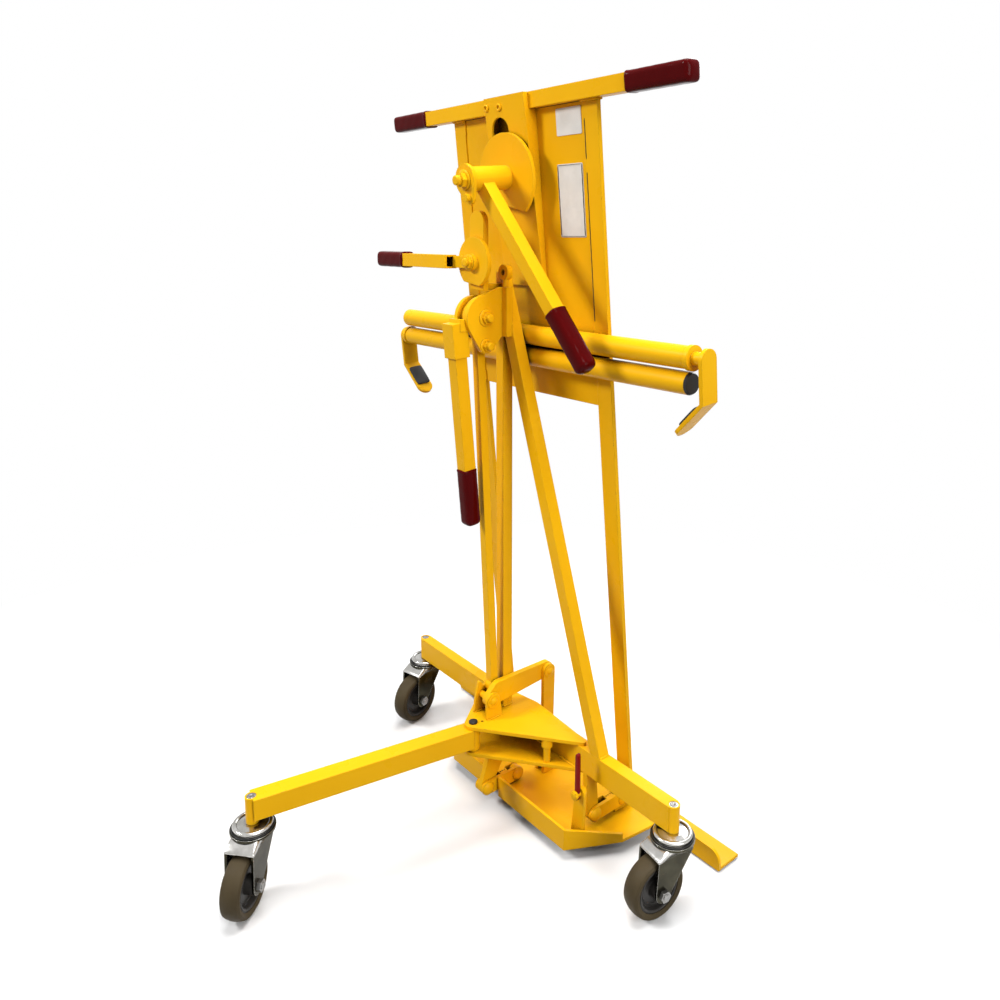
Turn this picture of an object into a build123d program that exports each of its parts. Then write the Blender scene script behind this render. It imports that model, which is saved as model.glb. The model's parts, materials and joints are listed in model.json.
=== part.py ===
"""Door handling trolley: a three-caster base with a mast, and a leaning door carrier
that a hand lever raises through an eccentric, a push rod, a rocker and parallel links.

Built in millimetres about the middle of the door carrier, +X along the cross beam to the
right of the operator, +Y towards the door, +Z up from the floor. The finished pieces are
shifted so that the origin is on the floor in the middle of the plan outline.
"""
import os
from math import cos, hypot, radians, sin, sqrt, tan

from build123d import *

# Fits
RUN = 0.06
GAP = 0.3
SIDE_GAP = 0.6
ROD_PLAY = 1.0
LINK_PLAY = 0.8

# Casters
WHEEL_R = 40.0
RIM_R = 30.0
RIM_IN = 25.0
RIM_W = 20.0
WEB_T = 9.0
WHEEL_BOSS_R = 11.0
TYRE_W = 26.0
TYRE_ROUND = 2.0
TRAIL = 28.0
RACE_TOP = 104.5
RACE_BASE = 98.0
RACE_R = 24.5
RACE_NECK_R = 12.0
RACE_RIM = 3.5
FLANGE_R = 28.0
FLANGE_RIM = 3.2
CROWN_BASE = 84.5
CROWN_T = 4.0
CROWN_BACK = -18.0
CROWN_FRONT = 28.3
CROWN_NECK_R = 22.0
FORK_GAP = 32.0
FORK_T = 3.0
FORK_EYE_R = 11.0
AXLE_R = 4.0
AXLE_HEX = 7.5
AXLE_HEAD = 5.5
AXLE_TAIL = 7.0
KINGPIN_R = 5.0
KINGPIN_HEAD_R = 8.0
KINGPIN_HEAD = 5.0
STEM_R = 5.7
LEFT_HEADING = 283.0
RIGHT_HEADING = 261.5
FRONT_HEADING = 311.0

# Base
BEAM_LEFT = -276.0
BEAM_RIGHT = 290.0
BEAM_W = 18.0
BEAM_H = 35.0
BEAM_TOP = 140.0
BEAM_BASE = BEAM_TOP - BEAM_H
WALL = 2.5
POST_R = 8.0
POST_BORE = 6.0
PLATE_T = 5.0
DECK = BEAM_TOP + PLATE_T
UNDER_HUB = BEAM_BASE - PLATE_T
NOSE = (-5.0, -92.0)
NOSE_R = 12.3
NOSE_PIN_R = 4.5
NOSE_CAP_R = 6.2
NOSE_CAP_H = 3.2
NOSE_HOLE = (0.6, -80.0)
NOSE_HOLE_R = 2.0
HUB_CORNERS = ((-84.0, -8.0), (129.0, -2.0), (14.0, 8.0))
HUB_CORNER_R = 4.0
LEG_LENGTH = 304.0
LEG_FOLD = -10.45
LEG_W = 25.0
LEG_H = 28.0
KNUCKLE_R = 9.0
STAY = (85.0, -30.0)
STAY_R = 5.0
STAY_NUT_R = 8.0
STAY_NUT_H = 12.0

# Mast, standing behind the rocker, with its strut and head
MAST = 16.0
MAST_X = -18.0
MAST_Y = -26.0
MAST_TOP = 781.5
STRUT = 17.5
STRUT_FOOT_X = 158.5
STRUT_HEAD_Z = 779.0
STRUT_OUT = 4.5
LEVER_Y = MAST_Y - 45.0
LEVER_Z = 722.5
LEVER_BOLT_R = 5.0
LEVER_HEX = 8.5
LEVER_TAIL = 12.0
BOLT_HEAD = 6.0
HEAD_T = 6.0
HEAD_RIM = 2.0
STOP_DROP = 37.0
STOP_EYE_R = 11.0
STOP_HEX = 7.4
FOLD_W = 16.0
FOLD_T = 10.0
FOLD_H = 66.0
FOLD_RISE = 40.0
FOLD_Y = MAST_Y - STRUT_OUT - STRUT / 2 - HEAD_T + 0.4
EYE_Z = 782.0
EYE_R = 10.0
EYE_BORE = 4.0
EYE_T = 9.0
STRAP_W = 30.0
STRAP_T = 8.0
STRAP_FRONT = MAST_Y - 46.0
STRAP_TOP = 862.0
BLOCK_BASE = 758.5
BLOCK_T = 8.0

# Lift lever
HUB_DISC_R = 28.5
HUB_DISC_T = 6.7
ECCENTRIC_R = 14.0
THROW = 0.9
LIFT_SWING = 75.0
LIFT_LENGTH = 274.0
LIFT_GRIP = 75.0
LIFT_SLOPE = 4.9
LEVER_BAR = 18.0
SOCKET_T = 3.0
SOCKET_L = 46.0
SOCKET_OUT = 37.0
SOCKET_DROP = 6.0
NECK_W = 26.0
NECK_H = 16.0
NECK_OUT = 24.0
NECK_DROP = 9.0

# Push rod, rocker and drop link
ROD = 12.0
ROD_STRAP = 8.0
ROD_EYE_R = 10.0
ROD_PIN = (-48.0, 182.0)
ROCKER_T = 9.0
ROCKER_X = -0.4
ROCKER_PIN = (-62.5, 170.5)
DROP_PIN = (42.0, 181.5)
DROP_T = 6.0
LIFT_PIN = (40.0, 65.5)
PIN_R = 5.0
PIN_HEAD_R = 7.0
PIN_HEAD_H = 4.2
EAR_T = 4.0
EAR_R = 12.0
FAR_EAR_TOP = (-66.0, 188.0)
FAR_EAR_FOOT = (-76.0, -48.0)
NEAR_EAR_FOOT = (-74.0, -47.0)

# Parallel links between the base and the tray
HANGER_T = 8.0
CHEEK_T = 5.0
LINK_PIN_R = 6.0
LINK_HEAD_R = 10.0
LINK_HEAD_H = 5.0
LINK_REACH = 55.0
LINK_EYE_R = 10.0
WEB_HOLE_R = 1.2
WEB_HOLE_STEP = 4.0
WEB_SHORT = 42.0
LEFT_LINK_X = -8.0
LEFT_LINK_PIN = (-70.0, 33.5)
LEFT_HANGER_FOOT = (-59.0, -19.0)
RIGHT_LINK_X = 140.0
RIGHT_LINK_PIN = (5.0, 40.5)
LUG_EYE_R = 9.0
LIFT_LUG_R = 11.0
LUG_SPREAD = 3.0
LUG_CLEAR = 2.0
LUG_T = 5.0
FOOT_R = 1.0

# Carrier, measured up its own leaning plane
LEAN = 5.6
LEDGE_Y = 83.0
LEDGE_Z = 2.5
UPRIGHT_X = 135.0
UPRIGHT_W = 25.0
UPRIGHT_T = 6.0
PANEL_BASE = 613.0
PANEL_T = 3.0
BAR = 20.0
BAR_S = 1003.0
BAR_N = 4.0
BAR_HALF = 292.5
UPRIGHT_TOP = BAR_S - BAR / 2
GRIP_T = 1.6
GRIP_L = 88.0
GRIP_ROUND = 4.0
CHANNEL_X = -7.0
CHANNEL_W = 83.0
CHANNEL_T = 3.0
CHANNEL_BASE = 765.0
CHANNEL_TOP = BAR_S + BAR / 2
CHANNEL_DEEP = 22.0
CHANNEL_SHALLOW = 8.0
SLOT_X = -20.0
SLOT_S = 932.0
SLOT_W = 36.0
SLOT_H = 110.0
TUBE_R = 13.5
TUBE_BORE = 10.9
TUBE_UPPER = 699.0
TUBE_LOWER = 669.0
TUBE_SHORT = 290.0
TUBE_LONG = 303.0
TUBE_N = UPRIGHT_T / 2 + TUBE_R
NECK_L = 15.0
CAP_PLUG = 14.0
CAP_T = 3.0
CAP_TAPER = 30.0

# Tray and ledge
TRAY_Z = 16.5
TRAY_T = 4.0
TRAY_TOP = TRAY_Z + TRAY_T
TRAY_WALL = 30.0
WALL_TAIL = 12.0
TRAY_FRONT = -55.0
TRAY_LEFT = -110.0
TRAY_RIGHT = 150.0
TRAY_BEND_Y = 17.0
TRAY_BEND_LEFT = -170.0
TRAY_BEND_RIGHT = 190.0
TRAY_SIDE = 196.0
TRAY_SIDE_Y = 65.0
LINK_SLOT_HALF = 13.0
LINK_SLOT_DEPTH = 27.0
LEDGE_FRONT = 88.0
LEDGE_DEPTH = 42.0
LEDGE_H = 26.0
LEDGE_HALF = 298.0
LEDGE_T = 4.0
LEDGE_CORNER_R = 16.0

# Foot latch
LATCH = (152.0, -30.0, 92.0)
LATCH_T = 6.0
LATCH_EYE_R = 8.0
LATCH_TIP = (0.5, 54.0)
LATCH_TIP_R = 5.0
LATCH_PIN_R = 4.0
LATCH_LUG_R = 9.0
LATCH_FEET = (-15.0, 5.0)

# Hooks
HOOK_ROD_R = 8.0
HOOK_W = 26.0
HOOK_T = 5.0
HOOK_DROP = 48.0
HOOK_TIP = 58.0
HOOK_ROD_L = 250.0
HOOK_BEND = 45.0
RIGHT_HOOK_OUT = 22.0
LEFT_HOOK_OUT = 10.0
BUSH_L = 30.0
SHOULDER_L = 8.0
COLLAR_R = 15.0
COLLAR_L = 6.0
PAD_T = 3.0
PAD_SHORT = 22.0

# Tilt lever
TILT_S = 910.0
TILT_BAR = 18.0
TILT_BAR_N = 66.0
TILT_LENGTH = 288.0
TILT_ANGLE = -52.0
TILT_GRIP = 92.0
TILT_DISC_R = 57.0
DISC_T = 5.0
DISC_N = CHANNEL_DEEP + GAP
DISC_CUT = (0.0, -70.0)
DISC_CUT_TURN = -12.0
DISC_CUT_H = 64.0
SPINDLE_R = 6.0
SPINDLE_SEAT_R = 11.0
SPINDLE_HEX = 10.0
SPINDLE_NUT_H = 8.0
SPINDLE_TAIL = 16.0
FLANGE_N = 88.0
FLANGE_T = 5.0
TILT_FLANGE_R = 20.0
BOSS_R = 16.0
TILT_CRANK = (6.0, -22.0)
CRANK_EYE_R = 9.0
CRANK_PIN_R = 5.0
CRANK_PIN_H = 6.0

# Clamp lever
CLAMP_Z = 795.0
CLAMP_T = 6.0
TAB_T = 6.0
TAB_W = 16.0
TAB_L = 38.0
CLAMP_HUB_R = 11.0
CLAMP_DISC_R = 33.0
CLAMP_CUT = (0.0, -46.0)
CLAMP_CUT_TURN = -8.0
CLAMP_CUT_H = 34.0
CLAMP_LENGTH = 216.0
CLAMP_GRIP = 62.0
CLAMP_NUT_H = 5.0
CLAMP_TAIL = 8.0

os.makedirs("parts", exist_ok=True)
pieces = []
X_AXIS = (1, 0, 0)
Y_AXIS = (0, 1, 0)
Z_AXIS = (0, 0, 1)
TO_OPERATOR = (0, -1, 0)


def keep(label, *builders, place=None):
    """Name a finished piece, or a group of like pieces, and put it in the assembly."""
    solids = [solid for builder in builders for solid in builder.part.solids()]
    piece = solids[0] if len(solids) == 1 else Compound(children=solids)
    if place is not None:
        piece = piece.moved(place)
    piece.label = label
    pieces.append(piece)


def turning_plane(origin, axis, radial):
    """Plane whose local x is the radius and local y the axis of a turned piece."""
    return Plane(origin=origin, x_dir=radial, z_dir=Vector(*radial).cross(Vector(*axis)))


def turned(origin, axis, radial, *profile):
    with BuildPart() as piece:
        with BuildSketch(turning_plane(origin, axis, radial)):
            with BuildLine():
                Polyline(*profile, close=True)
            make_face()
        revolve(axis=Axis(origin, axis))
    return piece


def domed_pin(start, grip, shank_r, head_r, head_h):
    """Riveted pin along X with a domed head at each end of its grip."""
    ball_r = (head_r**2 + head_h**2) / (2 * head_h)
    mid_r = 0.6 * head_r
    mid_h = sqrt(ball_r**2 - mid_r**2) - ball_r + head_h
    with BuildPart() as pin:
        with BuildSketch(turning_plane(start, X_AXIS, Z_AXIS)):
            with BuildLine():
                Line((0, grip + head_h), (0, -head_h))
                ThreePointArc((0, -head_h), (mid_r, -mid_h), (head_r, 0))
                Polyline((head_r, 0), (shank_r, 0), (shank_r, grip), (head_r, grip))
                ThreePointArc((head_r, grip), (mid_r, grip + mid_h), (0, grip + head_h))
            make_face()
        revolve(axis=Axis(start, X_AXIS))
    return pin


def hex_bolt(plane, grip, shank_r, hex_r, head_h, tail):
    """Bolt along the plane's normal: head below the plane, nut and thread end past the grip."""
    with BuildPart() as bolt:
        with BuildSketch(plane.offset(-head_h)):
            RegularPolygon(hex_r, 6)
        extrude(amount=head_h)
        with BuildSketch(plane):
            Circle(shank_r)
        extrude(amount=grip + tail)
        with BuildSketch(plane.offset(grip)):
            RegularPolygon(hex_r, 6)
        extrude(amount=head_h)
    return bolt


def square_tube(plane, width, length):
    with BuildPart() as tube:
        with BuildSketch(plane):
            Rectangle(width, width)
            Rectangle(width - 2 * WALL, width - 2 * WALL, mode=Mode.SUBTRACT)
        extrude(amount=length)
    return tube


def dipped_grip(plane, bar, length):
    """Soft dipped sleeve over the end of a square bar; the plane's normal runs towards the tip."""
    outer = bar + 2 * GRIP_T
    with BuildPart() as grip:
        with BuildSketch(plane):
            RectangleRounded(outer, outer, GRIP_ROUND + RUN)
        extrude(amount=length + GRIP_ROUND)
        fillet(grip.faces().sort_by(Axis(plane.origin, plane.z_dir))[-1].edges(), GRIP_ROUND)
        with BuildSketch(plane):
            Rectangle(bar, bar)
        extrude(amount=length, mode=Mode.SUBTRACT)
    return grip


def side_plane(x):
    """Plane across X whose local coordinates are Y and Z."""
    return Plane(origin=(x, 0, 0), x_dir=Y_AXIS, z_dir=X_AXIS)


def plate_hull(plane, thickness, circles, holes=()):
    """Flat bar or plate wrapped round circles given as (u, v, r), with round holes."""
    with BuildPart() as plate:
        with BuildSketch(plane):
            with BuildSketch(mode=Mode.PRIVATE) as wrap:
                for u, v, r in circles:
                    with Locations((u, v)):
                        Circle(r)
                make_hull()
            add(wrap.sketch)
            for u, v, r in holes:
                with Locations((u, v)):
                    Circle(r, mode=Mode.SUBTRACT)
        extrude(amount=thickness)
    return plate


def standing(pin, eye_r, front, back, foot):
    """Circles of an upright lug: round its pin, and the two ends of its foot."""
    return [(*pin, eye_r), (front + FOOT_R, foot, FOOT_R), (back - FOOT_R, foot, FOOT_R)]


# Casters


def caster(name, place):
    """Swivel caster that trails along its own +X: fork, axle, wheel centre and tyre."""
    fork_half = FORK_GAP / 2
    fork_w = FORK_GAP + 2 * FORK_T
    crown_top = CROWN_BASE + CROWN_T
    crown_mid = (CROWN_BACK + CROWN_FRONT) / 2
    crown_l = CROWN_FRONT - CROWN_BACK
    flange_top = RACE_BASE - GAP
    with BuildPart() as fork:
        with BuildSketch(Plane.XY.offset(flange_top - FLANGE_RIM)):
            Circle(FLANGE_R)
        extrude(amount=FLANGE_RIM)
        with BuildSketch(Plane.XY.offset(crown_top)):
            Circle(CROWN_NECK_R)
        extrude(amount=flange_top - FLANGE_RIM - crown_top)
        with BuildSketch(Plane.XY.offset(CROWN_BASE)):
            with Locations((crown_mid, 0)):
                RectangleRounded(crown_l, fork_w, 2 * FORK_T)
        extrude(amount=CROWN_T)
        for inner in (fork_half, -fork_half - FORK_T):
            with BuildSketch(Plane.XZ.offset(inner)):
                with BuildSketch(mode=Mode.PRIVATE) as cheek:
                    with Locations((TRAIL, WHEEL_R)):
                        Circle(FORK_EYE_R)
                    with Locations((crown_mid, CROWN_BASE + FORK_T / 2)):
                        Rectangle(crown_l, FORK_T)
                    make_hull()
                add(cheek.sketch)
                with Locations((TRAIL, WHEEL_R)):
                    Circle(AXLE_R + RUN, mode=Mode.SUBTRACT)
            extrude(amount=FORK_T)
        with BuildSketch(Plane.XY.offset(CROWN_BASE)):
            Circle(KINGPIN_R + RUN)
        extrude(amount=RACE_BASE - CROWN_BASE, mode=Mode.SUBTRACT)
    keep(f"{name}_fork", fork, place=place)

    axle_plane = Plane(origin=(TRAIL, -fork_w / 2, WHEEL_R), x_dir=X_AXIS, z_dir=Y_AXIS)
    axle = hex_bolt(axle_plane, fork_w, AXLE_R, AXLE_HEX, AXLE_HEAD, AXLE_TAIL)
    keep(f"{name}_axle", axle, place=place)

    centre = (TRAIL, 0, WHEEL_R)
    boss = fork_half - SIDE_GAP
    bore = AXLE_R + RUN
    web = WEB_T / 2
    rim = RIM_W / 2
    near_half = [
        (bore, -boss), (WHEEL_BOSS_R, -boss), (WHEEL_BOSS_R + 1, -web), (RIM_IN, -web + 1),
        (RIM_IN + 1, -rim), (RIM_R, -rim),
    ]
    far_half = [(r, -along) for r, along in reversed(near_half)]
    keep(f"{name}_wheel_centre", turned(centre, Y_AXIS, Z_AXIS, *near_half, *far_half), place=place)

    half = TYRE_W / 2
    shoulder = half - TYRE_ROUND
    tread_r = WHEEL_R - TYRE_ROUND
    wall_r = (RIM_R + WHEEL_R) / 2
    with BuildPart() as tyre:
        with BuildSketch(turning_plane(centre, Y_AXIS, Z_AXIS)):
            with BuildLine():
                Polyline((tread_r, shoulder), (wall_r, half), (RIM_R, shoulder))
                Polyline((RIM_R, shoulder), (RIM_R, -shoulder), (wall_r, -half), (tread_r, -shoulder))
                ThreePointArc((tread_r, -shoulder), (WHEEL_R, 0), (tread_r, shoulder))
            make_face()
        revolve(axis=Axis(centre, Y_AXIS))
    keep(f"{name}_tyre", tyre, place=place)


def kingpin(x, y):
    """Fixed upper race of a caster with its kingpin below and its stem up inside the post."""
    head = CROWN_BASE - KINGPIN_HEAD
    under = CROWN_BASE - GAP
    stem = BEAM_TOP - SIDE_GAP
    return turned(
        (x, y, 0), Z_AXIS, X_AXIS,
        (0, head), (KINGPIN_HEAD_R, head), (KINGPIN_HEAD_R, under), (KINGPIN_R, under),
        (KINGPIN_R, RACE_BASE), (RACE_R, RACE_BASE), (RACE_R, RACE_BASE + RACE_RIM),
        (RACE_NECK_R, RACE_TOP), (STEM_R, RACE_TOP), (STEM_R, stem), (0, stem),
    )


leg_way = (sin(radians(LEG_FOLD)), -cos(radians(LEG_FOLD)))
leg_end = (NOSE[0] + LEG_LENGTH * leg_way[0], NOSE[1] + LEG_LENGTH * leg_way[1])
caster("left_caster", Location((BEAM_LEFT, 0, 0), (0, 0, LEFT_HEADING)))
caster("right_caster", Location((BEAM_RIGHT, 0, 0), (0, 0, RIGHT_HEADING)))
caster("front_caster", Location((*leg_end, 0), (0, 0, FRONT_HEADING)))
keep("beam_kingpins", kingpin(BEAM_LEFT, 0), kingpin(BEAM_RIGHT, 0))
keep("front_kingpin", kingpin(*leg_end))

# Base frame

with BuildPart() as beam:
    with BuildSketch(side_plane(BEAM_LEFT)):
        with Locations((0, BEAM_TOP - BEAM_H / 2)):
            Rectangle(BEAM_W, BEAM_H)
            Rectangle(BEAM_W - 2 * WALL, BEAM_H - 2 * WALL, mode=Mode.SUBTRACT)
    extrude(amount=BEAM_RIGHT - BEAM_LEFT)
    with BuildSketch(Plane.XY.offset(RACE_TOP)):
        with Locations((BEAM_LEFT, 0), (BEAM_RIGHT, 0)):
            Circle(POST_R)
    extrude(amount=BEAM_TOP - RACE_TOP)
    with BuildSketch(Plane.XY.offset(RACE_TOP)):
        with Locations((BEAM_LEFT, 0), (BEAM_RIGHT, 0)):
            Circle(POST_BORE)
    extrude(amount=BEAM_TOP - RACE_TOP, mode=Mode.SUBTRACT)
keep("cross_beam", beam)

hub_outline = [(*NOSE, NOSE_R)] + [(*corner, HUB_CORNER_R) for corner in HUB_CORNERS]
pin_hole = (*NOSE, NOSE_PIN_R)
keep(
    "hub_plates",
    plate_hull(Plane.XY.offset(BEAM_TOP), PLATE_T, hub_outline, [pin_hole, (*NOSE_HOLE, NOSE_HOLE_R)]),
    plate_hull(Plane.XY.offset(UNDER_HUB), PLATE_T, hub_outline, [pin_hole]),
)

pin_low = UNDER_HUB - NOSE_CAP_H + 1
pin_high = DECK + NOSE_CAP_H - 1
nose_pin = turned(
    (*NOSE, 0), Z_AXIS, X_AXIS,
    (0, pin_low), (NOSE_PIN_R, pin_low), (NOSE_PIN_R, pin_high), (0, pin_high),
)
keep("nose_pin", nose_pin)


def nose_cap(face, end, tip):
    """Push-on cap between a hub plate's face and its own flat tip."""
    return turned(
        (*NOSE, 0), Z_AXIS, X_AXIS,
        (NOSE_PIN_R, face), (NOSE_CAP_R, face), (NOSE_CAP_R, end), (NOSE_PIN_R, tip),
        (0, tip), (0, end), (NOSE_PIN_R, end),
    )


keep("nose_pin_caps", nose_cap(DECK, pin_high, pin_high + 1), nose_cap(UNDER_HUB, pin_low, pin_low - 1))
keep("mast", square_tube(Plane(origin=(MAST_X, MAST_Y, DECK)), MAST, MAST_TOP - DECK))

# Strut from the beam to the mast, cut flush with the beam's top and the mast's side
strut_foot = Vector(STRUT_FOOT_X, 0, BEAM_TOP)
strut_head = Vector(MAST_X, MAST_Y - STRUT_OUT, STRUT_HEAD_Z)
strut_way = (strut_head - strut_foot).normalized()
strut_plane = Plane(origin=strut_foot - 2 * STRUT * strut_way, x_dir=Y_AXIS, z_dir=strut_way)
strut_length = (strut_head - strut_foot).length + 4 * STRUT
with BuildPart() as strut:
    with BuildSketch(strut_plane):
        Rectangle(STRUT, STRUT)
        Rectangle(STRUT - 2 * WALL, STRUT - 2 * WALL, mode=Mode.SUBTRACT)
    extrude(amount=strut_length)
    split(bisect_by=Plane.XY.offset(BEAM_TOP), keep=Keep.TOP)
    split(bisect_by=Plane.XY.offset(MAST_TOP), keep=Keep.BOTTOM)
    split(bisect_by=Plane(origin=(MAST_X + MAST / 2, 0, 0), z_dir=X_AXIS), keep=Keep.TOP)
keep("diagonal_strut", strut)

# Head plate beside the lever hub, folded over on to the strut, with a welded eye on top
HUB_IN = ROD / 2 + GAP
HUB_HALF = HUB_IN + HUB_DISC_T
HEAD_X = MAST_X + HUB_HALF + GAP
FOLD_TOP = LEVER_Z + FOLD_RISE
STOP_Z = LEVER_Z - STOP_DROP
eye_x = HEAD_X + FOLD_W / 2
eye_plane = Plane(origin=(eye_x, FOLD_Y + EYE_T, EYE_Z), x_dir=X_AXIS, z_dir=TO_OPERATOR)
with BuildPart() as head_plate:
    with BuildSketch(side_plane(HEAD_X)):
        with BuildSketch(mode=Mode.PRIVATE) as cheek:
            with Locations((LEVER_Y, LEVER_Z)):
                Circle(HUB_DISC_R + HEAD_RIM)
            with Locations((LEVER_Y, STOP_Z)):
                Circle(STOP_EYE_R)
            with Locations((FOLD_Y - FOOT_R, FOLD_TOP - FOLD_H / 2)):
                Rectangle(2 * FOOT_R, FOLD_H)
            make_hull()
        add(cheek.sketch)
        with Locations((LEVER_Y, LEVER_Z), (LEVER_Y, STOP_Z)):
            Circle(LEVER_BOLT_R, mode=Mode.SUBTRACT)
    extrude(amount=HEAD_T)
    with BuildSketch(Plane.XY.offset(FOLD_TOP - FOLD_H)):
        with Locations((HEAD_X + FOLD_W / 2, FOLD_Y + FOLD_T / 2)):
            Rectangle(FOLD_W, FOLD_T)
    extrude(amount=FOLD_H)
    with BuildSketch(strut_plane):
        Rectangle(STRUT, STRUT)
    extrude(amount=strut_length, mode=Mode.SUBTRACT)
    with BuildSketch(Plane(origin=(eye_x, FOLD_Y + EYE_T / 2, FOLD_TOP))):
        Circle(EYE_BORE)
    extrude(amount=EYE_Z - EYE_R / 2 - FOLD_TOP)
    with BuildSketch(eye_plane):
        Circle(EYE_R)
    extrude(amount=EYE_T)
    with BuildSketch(eye_plane):
        Circle(EYE_BORE)
    extrude(amount=EYE_T, mode=Mode.SUBTRACT)
keep("head_plate", head_plate)

strap_back = STRAP_FRONT + STRAP_T
mast_front = MAST_Y - MAST / 2
strap_plane = Plane(origin=(MAST_X, strap_back, 0), x_dir=X_AXIS, z_dir=TO_OPERATOR)
with BuildPart() as head_strap:
    with BuildSketch(strap_plane):
        strap_round = STRAP_TOP - STRAP_W / 2
        with Locations((0, (BLOCK_BASE + strap_round) / 2)):
            Rectangle(STRAP_W, strap_round - BLOCK_BASE)
        with Locations((0, strap_round)):
            Circle(STRAP_W / 2)
        with Locations((0, CLAMP_Z)):
            Circle(LEVER_BOLT_R, mode=Mode.SUBTRACT)
    extrude(amount=STRAP_T)
    with BuildSketch(Plane.XY.offset(BLOCK_BASE)):
        with Locations((MAST_X, (mast_front + strap_back) / 2)):
            Rectangle(MAST, mast_front - strap_back)
    extrude(amount=BLOCK_T)
keep("head_strap", head_strap)

bolt_back = MAST_X - HUB_HALF - GAP
lever_bolt_plane = Plane(origin=(bolt_back, LEVER_Y, LEVER_Z), x_dir=Y_AXIS, z_dir=X_AXIS)
stop_bolt_plane = Plane(origin=(HEAD_X, LEVER_Y, STOP_Z), x_dir=Y_AXIS, z_dir=X_AXIS)
clamp_bolt_plane = Plane(origin=(MAST_X, strap_back, CLAMP_Z), x_dir=X_AXIS, z_dir=TO_OPERATOR)
lever_grip = HEAD_X + HEAD_T - bolt_back
clamp_grip = STRAP_T + 2 * GAP + CLAMP_T + TAB_T
keep(
    "head_bolts",
    hex_bolt(lever_bolt_plane, lever_grip, LEVER_BOLT_R, LEVER_HEX, BOLT_HEAD, LEVER_TAIL),
    hex_bolt(stop_bolt_plane, HEAD_T, LEVER_BOLT_R, STOP_HEX, BOLT_HEAD, LEVER_TAIL),
    hex_bolt(clamp_bolt_plane, clamp_grip, LEVER_BOLT_R, LEVER_HEX, CLAMP_NUT_H, CLAMP_TAIL),
)

# Lugs welded to the base: the rocker's near and far ears and the two hangers of the links
EAR_X = ROCKER_X + SIDE_GAP
FAR_EAR_X = MAST_X - ROD / 2 - SIDE_GAP - EAR_T
deck_foot = DECK + FOOT_R
left_foot = UNDER_HUB - FOOT_R
right_foot = BEAM_BASE - FOOT_R
near_ear = standing(ROCKER_PIN, EAR_R, *NEAR_EAR_FOOT, deck_foot)
far_ear = standing(ROCKER_PIN, 2 * PIN_R, *FAR_EAR_FOOT, deck_foot) + [(*FAR_EAR_TOP, 2 * FOOT_R)]
left_hang_plane = side_plane(LEFT_LINK_X - HANGER_T / 2)
right_hang_plane = side_plane(RIGHT_LINK_X - HANGER_T / 2)
left_hanger = standing(LEFT_LINK_PIN, LINK_EYE_R, *LEFT_HANGER_FOOT, left_foot)
right_hanger = standing(RIGHT_LINK_PIN, LINK_EYE_R, -BEAM_W / 2, BEAM_W / 2, right_foot)
keep(
    "frame_lugs",
    plate_hull(side_plane(EAR_X), EAR_T, near_ear, [(*ROCKER_PIN, PIN_R)]),
    plate_hull(side_plane(FAR_EAR_X), EAR_T, far_ear, [(*ROCKER_PIN, PIN_R)]),
    plate_hull(left_hang_plane, HANGER_T, left_hanger, [(*LEFT_LINK_PIN, LINK_PIN_R)]),
    plate_hull(right_hang_plane, HANGER_T, right_hanger, [(*RIGHT_LINK_PIN, LINK_PIN_R)]),
)

LINK_GRIP = HANGER_T + 2 * CHEEK_T + 4 * GAP


def link_pin(x, centre):
    return domed_pin((x - LINK_GRIP / 2, *centre), LINK_GRIP, LINK_PIN_R, LINK_HEAD_R, LINK_HEAD_H)


nut_base = BEAM_TOP - STAY_NUT_H
stay_bolt = turned(
    (*STAY, 0), Z_AXIS, X_AXIS,
    (0, BEAM_BASE), (STAY_R, BEAM_BASE), (STAY_R, nut_base), (STAY_NUT_R, nut_base), (STAY_NUT_R, BEAM_TOP),
    (0, BEAM_TOP),
)
ear_grip = EAR_X + EAR_T - FAR_EAR_X
keep(
    "frame_pins",
    link_pin(LEFT_LINK_X, LEFT_LINK_PIN),
    link_pin(RIGHT_LINK_X, RIGHT_LINK_PIN),
    domed_pin((FAR_EAR_X, *ROCKER_PIN), ear_grip, PIN_R, PIN_HEAD_R, PIN_HEAD_H),
    stay_bolt,
)

# Front leg, folding about the nose pin, with its knuckle and its caster post
leg_top = BEAM_TOP - GAP
leg_mid = leg_top - LEG_H / 2
leg_plane = Plane(
    origin=(*leg_end, leg_mid), x_dir=(leg_way[1], -leg_way[0], 0), z_dir=(-leg_way[0], -leg_way[1], 0),
)
with BuildPart() as leg:
    with BuildSketch(leg_plane):
        Rectangle(LEG_W, LEG_H)
        Rectangle(LEG_W - 2 * WALL, LEG_H - 2 * WALL, mode=Mode.SUBTRACT)
    extrude(amount=LEG_LENGTH - NOSE_PIN_R)
    with BuildSketch(Plane.XY.offset(BEAM_BASE + GAP)):
        with Locations(NOSE):
            Circle(KNUCKLE_R)
    extrude(amount=BEAM_H - 2 * GAP)
    with BuildSketch(Plane.XY.offset(RACE_TOP)):
        with Locations(leg_end):
            Circle(POST_R)
    extrude(amount=leg_top - RACE_TOP)
    with BuildSketch(Plane.XY.offset(RACE_TOP)):
        with Locations(leg_end):
            Circle(POST_BORE)
        with Locations(NOSE):
            Circle(NOSE_PIN_R + RUN)
    extrude(amount=leg_top - RACE_TOP, mode=Mode.SUBTRACT)
keep("front_leg", leg)

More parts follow.
